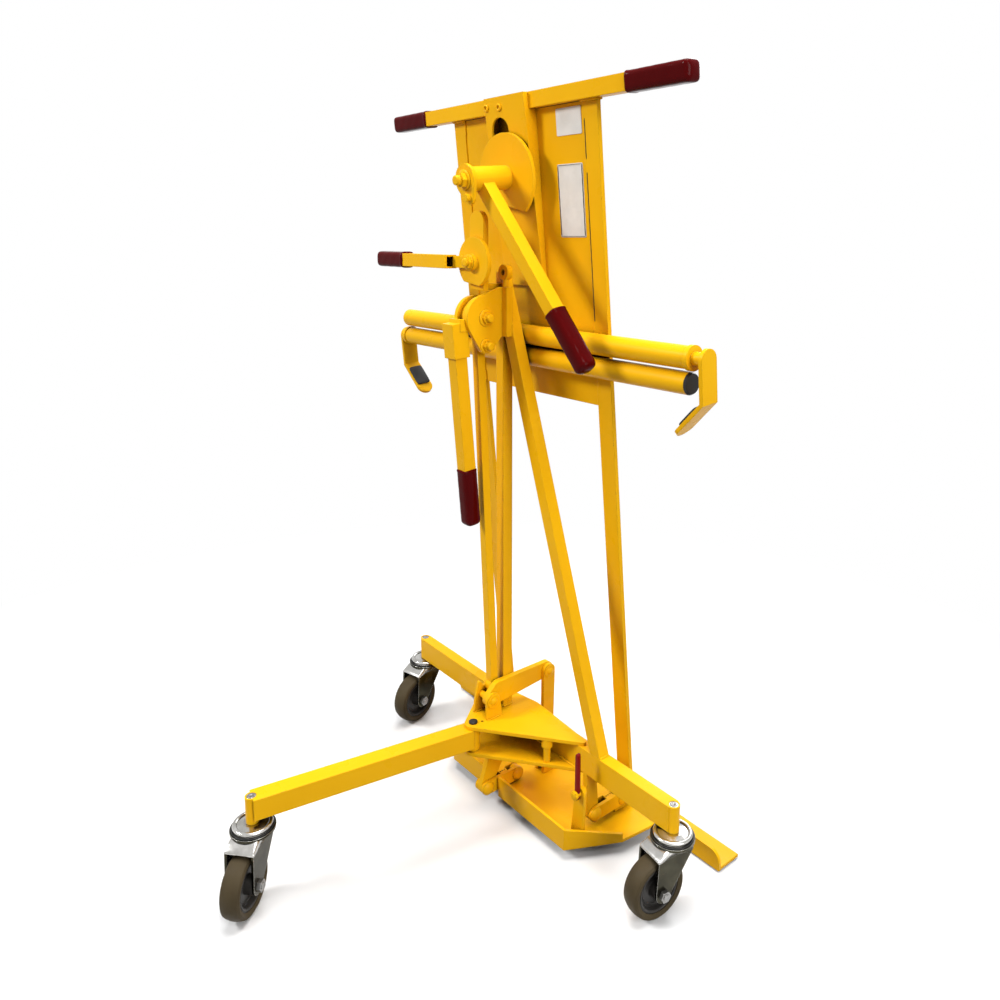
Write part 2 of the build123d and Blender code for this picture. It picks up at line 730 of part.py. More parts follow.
# Lift lever: two discs with an eccentric between them, and a socket for the hand bar
half_swing = radians(LIFT_SWING / 2)
eccentric = (LEVER_Y - THROW * cos(half_swing), LEVER_Z - THROW * sin(half_swing))
slope = radians(LIFT_SLOPE)
socket_mouth = (MAST_X, LEVER_Y - SOCKET_OUT, LEVER_Z - SOCKET_DROP)
socket_plane = Plane(origin=socket_mouth, x_dir=X_AXIS, z_dir=(0, sin(slope), -cos(slope)))
SOCKET = LEVER_BAR + 2 * SOCKET_T
socket_bore = LEVER_BAR + 2 * RUN
with BuildPart() as lift_hub:
    with BuildSketch(side_plane(MAST_X - HUB_HALF)):
        with Locations((LEVER_Y, LEVER_Z)):
            Circle(HUB_DISC_R)
        with Locations((LEVER_Y - NECK_OUT, LEVER_Z - NECK_DROP)):
            Rectangle(NECK_W, NECK_H)
    extrude(amount=2 * HUB_HALF)
    with BuildSketch(side_plane(MAST_X - HUB_IN)):
        with Locations((LEVER_Y, LEVER_Z)):
            Circle(HUB_DISC_R + GAP)
        with Locations(eccentric):
            Circle(ECCENTRIC_R, mode=Mode.SUBTRACT)
    extrude(amount=2 * HUB_IN, mode=Mode.SUBTRACT)
    with BuildSketch(socket_plane):
        Rectangle(SOCKET, SOCKET)
    extrude(amount=SOCKET_L)
    with BuildSketch(socket_plane.offset(SOCKET_T)):
        Rectangle(socket_bore, socket_bore)
    extrude(amount=SOCKET_L, mode=Mode.SUBTRACT)
    with BuildSketch(side_plane(MAST_X - HUB_HALF)):
        with Locations((LEVER_Y, LEVER_Z)):
            Circle(LEVER_BOLT_R + RUN)
    extrude(amount=2 * HUB_HALF, mode=Mode.SUBTRACT)
keep("lift_lever_hub", lift_hub)
lift_bar_plane = socket_plane.offset(SOCKET_T)
keep("lift_lever_bar", square_tube(lift_bar_plane, LEVER_BAR, LIFT_LENGTH))
keep("lift_lever_grip", dipped_grip(lift_bar_plane.offset(LIFT_LENGTH - LIFT_GRIP), LEVER_BAR, LIFT_GRIP))

# Push rod: a strap round the eccentric, a square rod and an eye on the rocker
rod_run = (ROD_PIN[0] - eccentric[0], ROD_PIN[1] - eccentric[1])
rod_plane = Plane(origin=(MAST_X, *eccentric), x_dir=X_AXIS, z_dir=(0, *rod_run))
rod_start = ECCENTRIC_R + ROD_STRAP / 2
rod_end = hypot(*rod_run) - ROD_EYE_R + (ROD_EYE_R - PIN_R - ROD_PLAY) / 2
with BuildPart() as push_rod:
    with BuildSketch(rod_plane.offset(rod_start)):
        Rectangle(ROD, ROD)
    extrude(amount=rod_end - rod_start)
    with BuildSketch(side_plane(MAST_X - ROD / 2)):
        with Locations(eccentric):
            Circle(ECCENTRIC_R + ROD_STRAP)
        with Locations(ROD_PIN):
            Circle(ROD_EYE_R)
    extrude(amount=ROD)
    with BuildSketch(side_plane(MAST_X - ROD / 2)):
        with Locations(eccentric):
            Circle(ECCENTRIC_R + RUN)
        with Locations(ROD_PIN):
            Circle(PIN_R + ROD_PLAY)
    extrude(amount=ROD, mode=Mode.SUBTRACT)
keep("push_rod", push_rod)

# Rocker: one thick bar beside the mast, deeper where the push rod is pinned to it
ROCKER_BACK = ROCKER_X - ROCKER_T
rocker = plate_hull(
    side_plane(ROCKER_BACK), ROCKER_T,
    [(*ROCKER_PIN, 2 * PIN_R), (*ROD_PIN, EAR_R), (*DROP_PIN, EAR_R)],
    [(*ROCKER_PIN, PIN_R + RUN), (*ROD_PIN, PIN_R), (*DROP_PIN, PIN_R)],
)
keep("rocker_bars", rocker)
rod_pin_head = MAST_X - ROD / 2 - GAP
rod_pin = turned(
    (0, *ROD_PIN), X_AXIS, Z_AXIS,
    (0, rod_pin_head - EAR_T), (PIN_HEAD_R, rod_pin_head - EAR_T), (PIN_HEAD_R, rod_pin_head),
    (PIN_R, rod_pin_head), (PIN_R, ROCKER_X), (0, ROCKER_X),
)
drop_pin = domed_pin((ROCKER_BACK, *DROP_PIN), ROCKER_T + DROP_T + 2 * GAP, PIN_R, PIN_HEAD_R, PIN_HEAD_H)
keep("rocker_pins", rod_pin, drop_pin)
DROP_X = ROCKER_X + GAP
drop_link = plate_hull(
    side_plane(DROP_X), DROP_T, [(*DROP_PIN, LIFT_LUG_R), (*LIFT_PIN, LINK_EYE_R)],
    [(*DROP_PIN, PIN_R + RUN), (*LIFT_PIN, PIN_R + LINK_PLAY)],
)
keep("drop_link", drop_link)


def link_tail(pin):
    return (pin[0] + LINK_REACH, pin[1])


def parallel_link(x, pin, tail_play):
    """Channel-shaped link over a hanger and a tray lug: two cheeks joined by a web with three holes."""
    tail = link_tail(pin)
    web_base = LINK_EYE_R - CHANNEL_T
    cheek_in = HANGER_T / 2 + GAP
    with BuildPart() as link:
        for inner in (cheek_in, -cheek_in - CHEEK_T):
            with BuildSketch(side_plane(x + inner)):
                with BuildSketch(mode=Mode.PRIVATE) as wrap:
                    with Locations(pin, tail):
                        Circle(LINK_EYE_R)
                    make_hull()
                add(wrap.sketch)
                with Locations(pin):
                    Circle(LINK_PIN_R + RUN, mode=Mode.SUBTRACT)
                with Locations(tail):
                    Circle(LINK_PIN_R + tail_play, mode=Mode.SUBTRACT)
            extrude(amount=CHEEK_T)
        with BuildSketch(Plane(origin=(x, pin[0] + (LINK_REACH + LINK_EYE_R) / 2, pin[1] + web_base))):
            Rectangle(2 * cheek_in + CHEEK_T, LINK_REACH - WEB_SHORT)
            with GridLocations(0, WEB_HOLE_STEP, 1, 3):
                Circle(WEB_HOLE_R, mode=Mode.SUBTRACT)
        extrude(amount=LINK_EYE_R - web_base)
    return link


keep("parallel_link_left", parallel_link(LEFT_LINK_X, LEFT_LINK_PIN, RUN))
keep("parallel_link_right", parallel_link(RIGHT_LINK_X, RIGHT_LINK_PIN, LINK_PLAY))

# Carrier frame in its leaning plane: x across, y up the lean, normal towards the operator
carrier = Plane(
    origin=(0, LEDGE_Y, LEDGE_Z), x_dir=X_AXIS, z_dir=(0, -cos(radians(LEAN)), -sin(radians(LEAN))),
)


def upright(x):
    with BuildPart() as bar:
        with BuildSketch(carrier.offset(-UPRIGHT_T / 2)):
            with Locations((x, UPRIGHT_TOP / 2)):
                Rectangle(UPRIGHT_W, UPRIGHT_TOP)
        extrude(amount=UPRIGHT_T)
        split(bisect_by=Plane.XY.offset(TRAY_TOP), keep=Keep.TOP)
    return bar


keep("upright_left", upright(-UPRIGHT_X))
keep("upright_right", upright(UPRIGHT_X))

with BuildPart() as panel:
    panel_w = 2 * UPRIGHT_X - UPRIGHT_W
    with BuildSketch(carrier.offset(-PANEL_T / 2)):
        with Locations((0, (PANEL_BASE + UPRIGHT_TOP) / 2)):
            Rectangle(panel_w, UPRIGHT_TOP - PANEL_BASE)
        with Locations((CHANNEL_X, TILT_S)):
            Circle(SPINDLE_R, mode=Mode.SUBTRACT)
    extrude(amount=PANEL_T)
keep("back_panel", panel)


def carrier_point(x, s, n):
    return carrier.from_local_coords(Vector(x, s, n))


def across(side, x, s, n):
    """Plane across the carrier at a point of its leaning frame, normal outwards on the given side."""
    return Plane(origin=carrier_point(side * x, s, n), x_dir=carrier.y_dir, z_dir=(side, 0, 0))


keep("handlebar", square_tube(across(1, -BAR_HALF, BAR_S, BAR_N), BAR, 2 * BAR_HALF))
grip_start = BAR_HALF - GRIP_L
keep(
    "handlebar_grips",
    dipped_grip(across(1, grip_start, BAR_S, BAR_N), BAR, GRIP_L),
    dipped_grip(across(-1, grip_start, BAR_S, BAR_N), BAR, GRIP_L),
)

# Channel: a shallow folded cover that deepens towards the handlebar
channel_side = Plane(origin=carrier_point(CHANNEL_X, 0, 0), x_dir=carrier.y_dir, z_dir=X_AXIS)
panel_face = PANEL_T / 2
low = CHANNEL_BASE - CHANNEL_T
high = CHANNEL_TOP + CHANNEL_T
with BuildPart() as channel:
    with BuildSketch(channel_side):
        with BuildLine():
            Polyline(
                (CHANNEL_BASE, panel_face), (CHANNEL_TOP, panel_face), (CHANNEL_TOP, CHANNEL_DEEP),
                (CHANNEL_BASE, CHANNEL_SHALLOW), close=True,
            )
        make_face()
    extrude(amount=CHANNEL_W / 2, both=True)
    with BuildSketch(channel_side):
        with BuildLine():
            Polyline(
                (low, -panel_face), (high, -panel_face), (high, CHANNEL_DEEP - CHANNEL_T),
                (low, CHANNEL_SHALLOW - CHANNEL_T), close=True,
            )
        make_face()
    extrude(amount=CHANNEL_W / 2 - CHANNEL_T, both=True, mode=Mode.SUBTRACT)
    with BuildSketch(channel_side):
        with Locations((BAR_S, BAR_N)):
            Rectangle(BAR, BAR)
    extrude(amount=CHANNEL_W, both=True, mode=Mode.SUBTRACT)
    with BuildSketch(carrier):
        with Locations((SLOT_X, SLOT_S)):
            SlotOverall(SLOT_H, SLOT_W, rotation=90)
        with Locations((CHANNEL_X, TILT_S)):
            Circle(SPINDLE_SEAT_R + GAP)
    extrude(amount=2 * CHANNEL_DEEP, mode=Mode.SUBTRACT)
keep("tilt_channel", channel)


# Hook tubes: the mouth of each is necked down to guide the hook rod
def across_tube(side, x, s):
    return across(side, x, s, TUBE_N)


def hook_tube(side, s, mouth, blind):
    with BuildPart() as tube:
        with BuildSketch(across_tube(side, -blind, s)):
            Circle(TUBE_R)
        extrude(amount=mouth + blind)
        with BuildSketch(across_tube(side, -blind, s)):
            Circle(TUBE_BORE)
        extrude(amount=mouth + blind - NECK_L, mode=Mode.SUBTRACT)
        with BuildSketch(across_tube(side, mouth, s)):
            Circle(HOOK_ROD_R + RUN)
        extrude(amount=-2 * NECK_L, mode=Mode.SUBTRACT)
    return tube


def tube_cap(side, s, end):
    """Push-in end cap: a plug inside the tube and a low domed flange."""
    with BuildPart() as cap:
        with BuildSketch(across_tube(side, end - CAP_PLUG, s)):
            Circle(TUBE_BORE)
        extrude(amount=CAP_PLUG)
        with BuildSketch(across_tube(side, end, s)):
            Circle(TUBE_R)
        extrude(amount=CAP_T, taper=CAP_TAPER)
    return cap


keep(
    "hook_tubes",
    hook_tube(1, TUBE_UPPER, TUBE_SHORT, TUBE_LONG),
    hook_tube(-1, TUBE_LOWER, TUBE_LONG, TUBE_SHORT),
)
keep("tube_caps", tube_cap(-1, TUBE_UPPER, TUBE_LONG), tube_cap(1, TUBE_LOWER, TUBE_SHORT))


def hook(name, side, s, mouth, reach):
    """Sliding guide ring, the hook that turns in it, and the hook's soft pad."""
    plate_x = mouth + reach
    inner_end = plate_x - HOOK_ROD_L
    guide_x = inner_end + SHOULDER_L
    with BuildPart() as guide:
        with BuildSketch(across_tube(side, guide_x, s)):
            Circle(TUBE_BORE - RUN)
            Circle(HOOK_ROD_R + RUN, mode=Mode.SUBTRACT)
        extrude(amount=BUSH_L)
    keep(f"hook_guide_{name}", guide)

    bend = carrier_point(side * plate_x, s - HOOK_DROP, TUBE_N)
    inward = Vector(-side, 0, 0)
    down = -carrier.y_dir
    tip_way = (inward + down).normalized()
    outside = (down - inward).normalized()
    mitre = HOOK_T * tan(radians(HOOK_BEND / 2))
    tip_round = HOOK_W / 2
    tip_run = HOOK_TIP - tip_round + HOOK_T
    with BuildPart() as arm:
        with BuildSketch(across_tube(side, inner_end, s)):
            Circle(HOOK_ROD_R)
        extrude(amount=HOOK_ROD_L + HOOK_T)
        for shoulder in (inner_end, guide_x + BUSH_L + GAP):
            with BuildSketch(across_tube(side, shoulder, s)):
                Circle(TUBE_BORE - 1)
            extrude(amount=SHOULDER_L - GAP)
        with BuildSketch(across_tube(side, mouth + 2 * GAP, s)):
            Circle(COLLAR_R)
        extrude(amount=COLLAR_L)
        with BuildSketch(across_tube(side, plate_x, s)):
            Circle(HOOK_W / 2)
            with Locations((-(HOOK_DROP + mitre) / 2, 0)):
                Rectangle(HOOK_DROP + mitre, HOOK_W)
        extrude(amount=HOOK_T)
        with BuildSketch(Plane(origin=bend, x_dir=tip_way, z_dir=outside)):
            with Locations(((tip_run - mitre) / 2, 0)):
                Rectangle(tip_run + mitre, HOOK_W)
            with Locations((tip_run - HOOK_T / 2, 0)):
                Circle(tip_round)
        extrude(amount=HOOK_T)
    keep(f"hook_{name}", arm)

    with BuildPart() as pad:
        with BuildSketch(Plane(origin=bend, x_dir=tip_way, z_dir=-outside)):
            with Locations((HOOK_TIP / 2 - mitre, 0)):
                RectangleRounded(HOOK_TIP - PAD_SHORT, HOOK_W - 2, PAD_T)
        extrude(amount=PAD_T)
    keep(f"hook_pad_{name}", pad)


hook("right", 1, TUBE_UPPER, TUBE_SHORT, RIGHT_HOOK_OUT)
hook("left", -1, TUBE_LOWER, TUBE_LONG, LEFT_HOOK_OUT)

# Tray: floor cut out for the left link, front wall, and side walls that slope down to the rear
slot_left = LEFT_LINK_X - LINK_SLOT_HALF
slot_right = LEFT_LINK_X + LINK_SLOT_HALF
right_wall = ((TRAY_RIGHT, TRAY_FRONT), (TRAY_BEND_RIGHT, TRAY_BEND_Y), 1)
left_wall = ((TRAY_LEFT, TRAY_FRONT), (TRAY_BEND_LEFT, TRAY_BEND_Y), -1)
with BuildPart() as tray:
    with BuildSketch(Plane.XY.offset(TRAY_Z)):
        with BuildLine():
            Polyline(
                (TRAY_LEFT, TRAY_FRONT), (TRAY_RIGHT, TRAY_FRONT), (TRAY_BEND_RIGHT, TRAY_BEND_Y),
                (TRAY_SIDE, TRAY_SIDE_Y), (TRAY_SIDE, LEDGE_FRONT), (-TRAY_SIDE, LEDGE_FRONT),
                (-TRAY_SIDE, TRAY_SIDE_Y), (TRAY_BEND_LEFT, TRAY_BEND_Y), close=True,
            )
        make_face()
        with Locations((LEFT_LINK_X, TRAY_FRONT)):
            Rectangle(2 * LINK_SLOT_HALF, 2 * LINK_SLOT_DEPTH, mode=Mode.SUBTRACT)
    extrude(amount=TRAY_T)
    for start, end in ((TRAY_LEFT, slot_left), (slot_right, TRAY_RIGHT)):
        with BuildSketch(Plane.XY.offset(TRAY_Z)):
            with Locations(((start + end) / 2, TRAY_FRONT + TRAY_T / 2)):
                Rectangle(end - start, TRAY_T)
        extrude(amount=TRAY_WALL)
    for corner, rear, turn in (right_wall, left_wall):
        run = Vector(rear[0] - corner[0], rear[1] - corner[1], 0)
        with BuildSketch(Plane(origin=(*corner, TRAY_Z), x_dir=run, z_dir=run.cross(Vector(Z_AXIS)))):
            with BuildLine():
                Polyline((0, 0), (run.length, 0), (run.length, WALL_TAIL), (0, TRAY_WALL), close=True)
            make_face()
        extrude(amount=-turn * TRAY_T)
keep("tray", tray)

with BuildPart() as ledge:
    with BuildSketch(Plane.XY.offset(LEDGE_Z)):
        with Locations((0, LEDGE_FRONT + LEDGE_DEPTH / 2)):
            Rectangle(2 * LEDGE_HALF, LEDGE_DEPTH)
    extrude(amount=LEDGE_T)
    with BuildSketch(Plane(origin=(0, LEDGE_FRONT, 0), x_dir=X_AXIS, z_dir=TO_OPERATOR)):
        with Locations((0, LEDGE_Z + LEDGE_H / 2)):
            Rectangle(2 * LEDGE_HALF, LEDGE_H)
    extrude(amount=-LEDGE_T)
    fillet(ledge.edges().filter_by(Axis.Y).group_by(Axis.Z)[-1], LEDGE_CORNER_R)
keep("door_ledge", ledge)

# Foot latch: a dipped upright lever on a pointed bracket on the tray
latch_plane = Plane(origin=LATCH, x_dir=X_AXIS, z_dir=TO_OPERATOR)
latch_foot = TRAY_TOP + FOOT_R - LATCH[2]
latch_bracket = plate_hull(
    latch_plane.offset(-LUG_T), LUG_T,
    [(0, 0, LATCH_LUG_R)] + [(foot, latch_foot, FOOT_R) for foot in LATCH_FEET], [(0, 0, LATCH_PIN_R)],
)
latch_lever = plate_hull(
    latch_plane.offset(GAP), LATCH_T,
    [(0, 0, LATCH_EYE_R), (*LATCH_TIP, LATCH_TIP_R)], [(0, 0, LATCH_PIN_R + RUN)],
)
keep("latch_lever", latch_lever)


def tray_lug(x, thickness, pin, eye_r, pin_r):
    """Upright lug on the tray floor, rounded over its pin hole."""
    half = eye_r + LUG_SPREAD
    circles = standing(pin, eye_r, pin[0] - half, pin[0] + half, TRAY_TOP + FOOT_R)
    return plate_hull(side_plane(x - thickness / 2), thickness, circles, [(*pin, pin_r)])


left_tail = link_tail(LEFT_LINK_PIN)
right_tail = link_tail(RIGHT_LINK_PIN)
drop_mid = DROP_X + DROP_T / 2
lug_out = DROP_T / 2 + LUG_T / 2 + LUG_CLEAR
lug_grip = 2 * lug_out + LUG_T
latch_grip = LUG_T + LATCH_T + 2 * GAP
keep(
    "tray_lugs",
    tray_lug(LEFT_LINK_X, HANGER_T, left_tail, LUG_EYE_R, LINK_PIN_R),
    tray_lug(RIGHT_LINK_X, HANGER_T, right_tail, LUG_EYE_R, LINK_PIN_R),
    tray_lug(drop_mid + lug_out, LUG_T, LIFT_PIN, LIFT_LUG_R, PIN_R),
    tray_lug(drop_mid - lug_out, LUG_T, LIFT_PIN, LIFT_LUG_R, PIN_R),
    latch_bracket,
)
keep(
    "tray_pins",
    link_pin(LEFT_LINK_X, left_tail),
    link_pin(RIGHT_LINK_X, right_tail),
    domed_pin((drop_mid - lug_grip / 2, *LIFT_PIN), lug_grip, PIN_R, PIN_HEAD_R, PIN_HEAD_H),
    hex_bolt(latch_plane.offset(-LUG_T), latch_grip, LATCH_PIN_R, STOP_HEX - 1, LATCH_PIN_R, LUG_T),
)

# Tilt lever on the channel: sector disc, spindle boss, flange with its crank pin, and hand bar
tilt_plane = Plane(origin=carrier_point(CHANNEL_X, TILT_S, 0), x_dir=X_AXIS, z_dir=carrier.z_dir)
flange_top = FLANGE_N + FLANGE_T
with BuildPart() as tilt_spindle:
    with BuildSketch(tilt_plane.offset(-PANEL_T / 2)):
        Circle(SPINDLE_R)
    extrude(amount=flange_top + SPINDLE_TAIL)
    with BuildSketch(tilt_plane.offset(PANEL_T / 2)):
        Circle(SPINDLE_SEAT_R)
    extrude(amount=CHANNEL_DEEP - PANEL_T / 2)
    with BuildSketch(tilt_plane.offset(flange_top + GAP)):
        RegularPolygon(SPINDLE_HEX, 6)
    extrude(amount=SPINDLE_NUT_H)
keep("tilt_spindle", tilt_spindle)

tilt_way = carrier.x_dir * cos(radians(TILT_ANGLE)) + carrier.y_dir * sin(radians(TILT_ANGLE))
tilt_bar_plane = Plane(
    origin=carrier_point(CHANNEL_X, TILT_S, TILT_BAR_N), x_dir=carrier.z_dir, z_dir=tilt_way,
)
bar_start = BOSS_R - WALL
with BuildPart() as tilt_lever:
    with BuildSketch(tilt_plane.offset(DISC_N)):
        Circle(TILT_DISC_R)
        with Locations(Location(DISC_CUT, DISC_CUT_TURN)):
            Rectangle(4 * TILT_DISC_R, DISC_CUT_H, mode=Mode.SUBTRACT)
    extrude(amount=DISC_T)
    with BuildSketch(tilt_plane.offset(DISC_N)):
        Circle(BOSS_R)
    extrude(amount=FLANGE_N - DISC_N)
    with BuildSketch(tilt_plane.offset(FLANGE_N)):
        with BuildSketch(mode=Mode.PRIVATE) as wrap:
            Circle(TILT_FLANGE_R)
            with Locations(TILT_CRANK):
                Circle(CRANK_EYE_R)
            make_hull()
        add(wrap.sketch)
    extrude(amount=FLANGE_T)
    with BuildSketch(tilt_plane.offset(flange_top)):
        with Locations(TILT_CRANK):
            Circle(CRANK_PIN_R)
    extrude(amount=CRANK_PIN_H)
    with BuildSketch(tilt_bar_plane.offset(bar_start)):
        Rectangle(TILT_BAR, TILT_BAR)
    extrude(amount=TILT_LENGTH - bar_start)
    with BuildSketch(tilt_bar_plane.offset(BOSS_R + WALL)):
        Rectangle(TILT_BAR - 2 * WALL, TILT_BAR - 2 * WALL)
    extrude(amount=TILT_LENGTH, mode=Mode.SUBTRACT)
    with BuildSketch(tilt_plane.offset(DISC_N)):
        Circle(SPINDLE_R + RUN)
    extrude(amount=flange_top, mode=Mode.SUBTRACT)
keep("tilt_lever", tilt_lever)
keep("tilt_lever_grip", dipped_grip(tilt_bar_plane.offset(TILT_LENGTH - TILT_GRIP), TILT_BAR, TILT_GRIP))

# Clamp lever on the head strap: sector disc, flat tab and square hand bar
clamp_plane = Plane(origin=(MAST_X, STRAP_FRONT, CLAMP_Z), x_dir=X_AXIS, z_dir=TO_OPERATOR)
clamp_bar_y = STRAP_FRONT - GAP - CLAMP_T - LEVER_BAR / 2
clamp_bar_plane = Plane(origin=(MAST_X - TAB_L, clamp_bar_y, CLAMP_Z), x_dir=Y_AXIS, z_dir=(-1, 0, 0))
clamp_bar_l = CLAMP_LENGTH - TAB_L
with BuildPart() as clamp_lever:
    with BuildSketch(clamp_plane.offset(GAP)):
        Circle(CLAMP_DISC_R)
        with Locations(Location(CLAMP_CUT, CLAMP_CUT_TURN)):
            Rectangle(4 * CLAMP_DISC_R, CLAMP_CUT_H, mode=Mode.SUBTRACT)
    extrude(amount=CLAMP_T)
    with BuildSketch(clamp_plane.offset(GAP + CLAMP_T)):
        Circle(CLAMP_HUB_R)
        with Locations((-TAB_L / 2, 0)):
            Rectangle(TAB_L, TAB_W)
    extrude(amount=TAB_T)
    with BuildSketch(clamp_bar_plane):
        Rectangle(LEVER_BAR, LEVER_BAR)
        Rectangle(LEVER_BAR - 2 * WALL, LEVER_BAR - 2 * WALL, mode=Mode.SUBTRACT)
    extrude(amount=clamp_bar_l)
    with BuildSketch(clamp_plane):
        Circle(LEVER_BOLT_R + RUN)
    extrude(amount=CLAMP_T + TAB_T + 2 * GAP, mode=Mode.SUBTRACT)
keep("clamp_lever", clamp_lever)
keep("clamp_lever_grip", dipped_grip(clamp_bar_plane.offset(clamp_bar_l - CLAMP_GRIP), LEVER_BAR, CLAMP_GRIP))

# Shift the plan outline's middle to the origin and write every piece
whole = Compound(children=[piece.moved(Location()) for piece in pieces]).bounding_box()
plan_middle = (whole.min + whole.max) / 2
shift = Location((-plan_middle.X, -plan_middle.Y, -whole.min.Z))
for piece in pieces:
    placed = piece.moved(shift)
    placed.label = piece.label
    export_step(placed, f"parts/{piece.label}.step")
print(f"{len(pieces)} pieces, plan middle X {plan_middle.X:.3f}, Y {plan_middle.Y:.3f}")
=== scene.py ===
"""Studio scene of the door handling trolley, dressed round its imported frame."""
import json
from math import ceil, copysign, cos, pi, radians, sin, sqrt
from typing import NamedTuple

import bmesh
import bpy
from mathutils import Matrix, Vector


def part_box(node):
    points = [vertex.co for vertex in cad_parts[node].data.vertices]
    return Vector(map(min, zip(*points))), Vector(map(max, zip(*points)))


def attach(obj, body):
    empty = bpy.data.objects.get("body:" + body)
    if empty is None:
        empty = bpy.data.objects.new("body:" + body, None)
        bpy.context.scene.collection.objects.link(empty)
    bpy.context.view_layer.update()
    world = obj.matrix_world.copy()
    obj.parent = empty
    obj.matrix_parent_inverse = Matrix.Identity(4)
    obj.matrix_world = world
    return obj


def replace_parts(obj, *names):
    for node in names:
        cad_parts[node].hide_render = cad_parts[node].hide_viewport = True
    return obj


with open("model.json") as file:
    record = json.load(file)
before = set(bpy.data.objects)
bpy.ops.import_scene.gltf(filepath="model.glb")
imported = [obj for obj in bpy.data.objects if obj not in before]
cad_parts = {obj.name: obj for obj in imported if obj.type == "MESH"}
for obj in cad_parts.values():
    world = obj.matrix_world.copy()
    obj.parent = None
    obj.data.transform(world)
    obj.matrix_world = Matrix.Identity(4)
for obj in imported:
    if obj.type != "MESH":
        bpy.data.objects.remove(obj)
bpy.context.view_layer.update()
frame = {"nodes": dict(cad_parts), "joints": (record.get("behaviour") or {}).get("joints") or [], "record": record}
nodes = frame["nodes"]
hinges = [joint for joint in frame["joints"] if joint["type"] == "hinge"]
pivot = {hinge["name"]: Vector(hinge["pos_m"]) for hinge in hinges}

MM = 0.001
X = Vector((1, 0, 0))
Y = Vector((0, 1, 0))
Z = Vector((0, 0, 1))
SIDES = (-1, 1)

# Places are millimetres: x from the middle of the door ledge, y from the cross beam, z from the floor
LEDGE_FRONT = 88.0
ledge_low, ledge_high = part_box("door_ledge")
SHIFT = Vector(((ledge_low.x + ledge_high.x) / 2, ledge_low.y - LEDGE_FRONT * MM, 0))

# The carrier leans: s runs up its plane from the ledge and n stands out of it towards the operator
LEAN = radians(5.6)
LEDGE_Y = 83.0
LEDGE_Z = 2.5
UP_LEAN = Vector((0, -sin(LEAN), cos(LEAN)))
OUT_LEAN = Vector((0, -cos(LEAN), -sin(LEAN)))


def at(x, y, z):
    """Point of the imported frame."""
    return Vector((x, y, z)) * MM + SHIFT


def on_carrier(x, s, n):
    """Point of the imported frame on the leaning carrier."""
    return at(x, LEDGE_Y, LEDGE_Z) + (UP_LEAN * s + OUT_LEAN * n) * MM


# Finishes


def rgb(r, g, b):
    return (r, g, b, 1.0)


PAINT = rgb(0.93, 0.5, 0.006)
PAINT_DEEP = rgb(0.88, 0.44, 0.004)
# Lighter yellow painted on edges as a highlight
PAINT_EDGE_HIGHLIGHT = rgb(1.0, 0.68, 0.02)
PAINT_CHIP = rgb(0.32, 0.19, 0.04)
# Brown for dirt mixed with painted shade in corners
PAINT_DIRT_AND_SHADE = rgb(0.3, 0.13, 0.004)
# Near black painted as shade deep in hollows
PAINTED_HOLLOW_SHADE = rgb(0.02, 0.01, 0.002)
# Dark grey painted as shade in the corners of plated parts
PLATING_PAINTED_SHADE = rgb(0.05, 0.045, 0.035)
PLATING_WORN = rgb(0.85, 0.84, 0.8)
CAP_BLACK = rgb(0.008, 0.008, 0.008)
CAP_GREY = rgb(0.03, 0.03, 0.03)
PLATE_PALE = rgb(0.8, 0.79, 0.76)
PLATE_CLOUD = rgb(0.7, 0.69, 0.66)
PLATE_SMEAR = rgb(0.55, 0.5, 0.42)

# Band of a noise texture that holds nearly all its values
NOISE_LOW = 0.3
NOISE_HIGH = 0.7

# Cosine of the normal's turn where an edge begins to show and where it shows in full
EDGE_START = 0.99
EDGE_FULL = 0.78


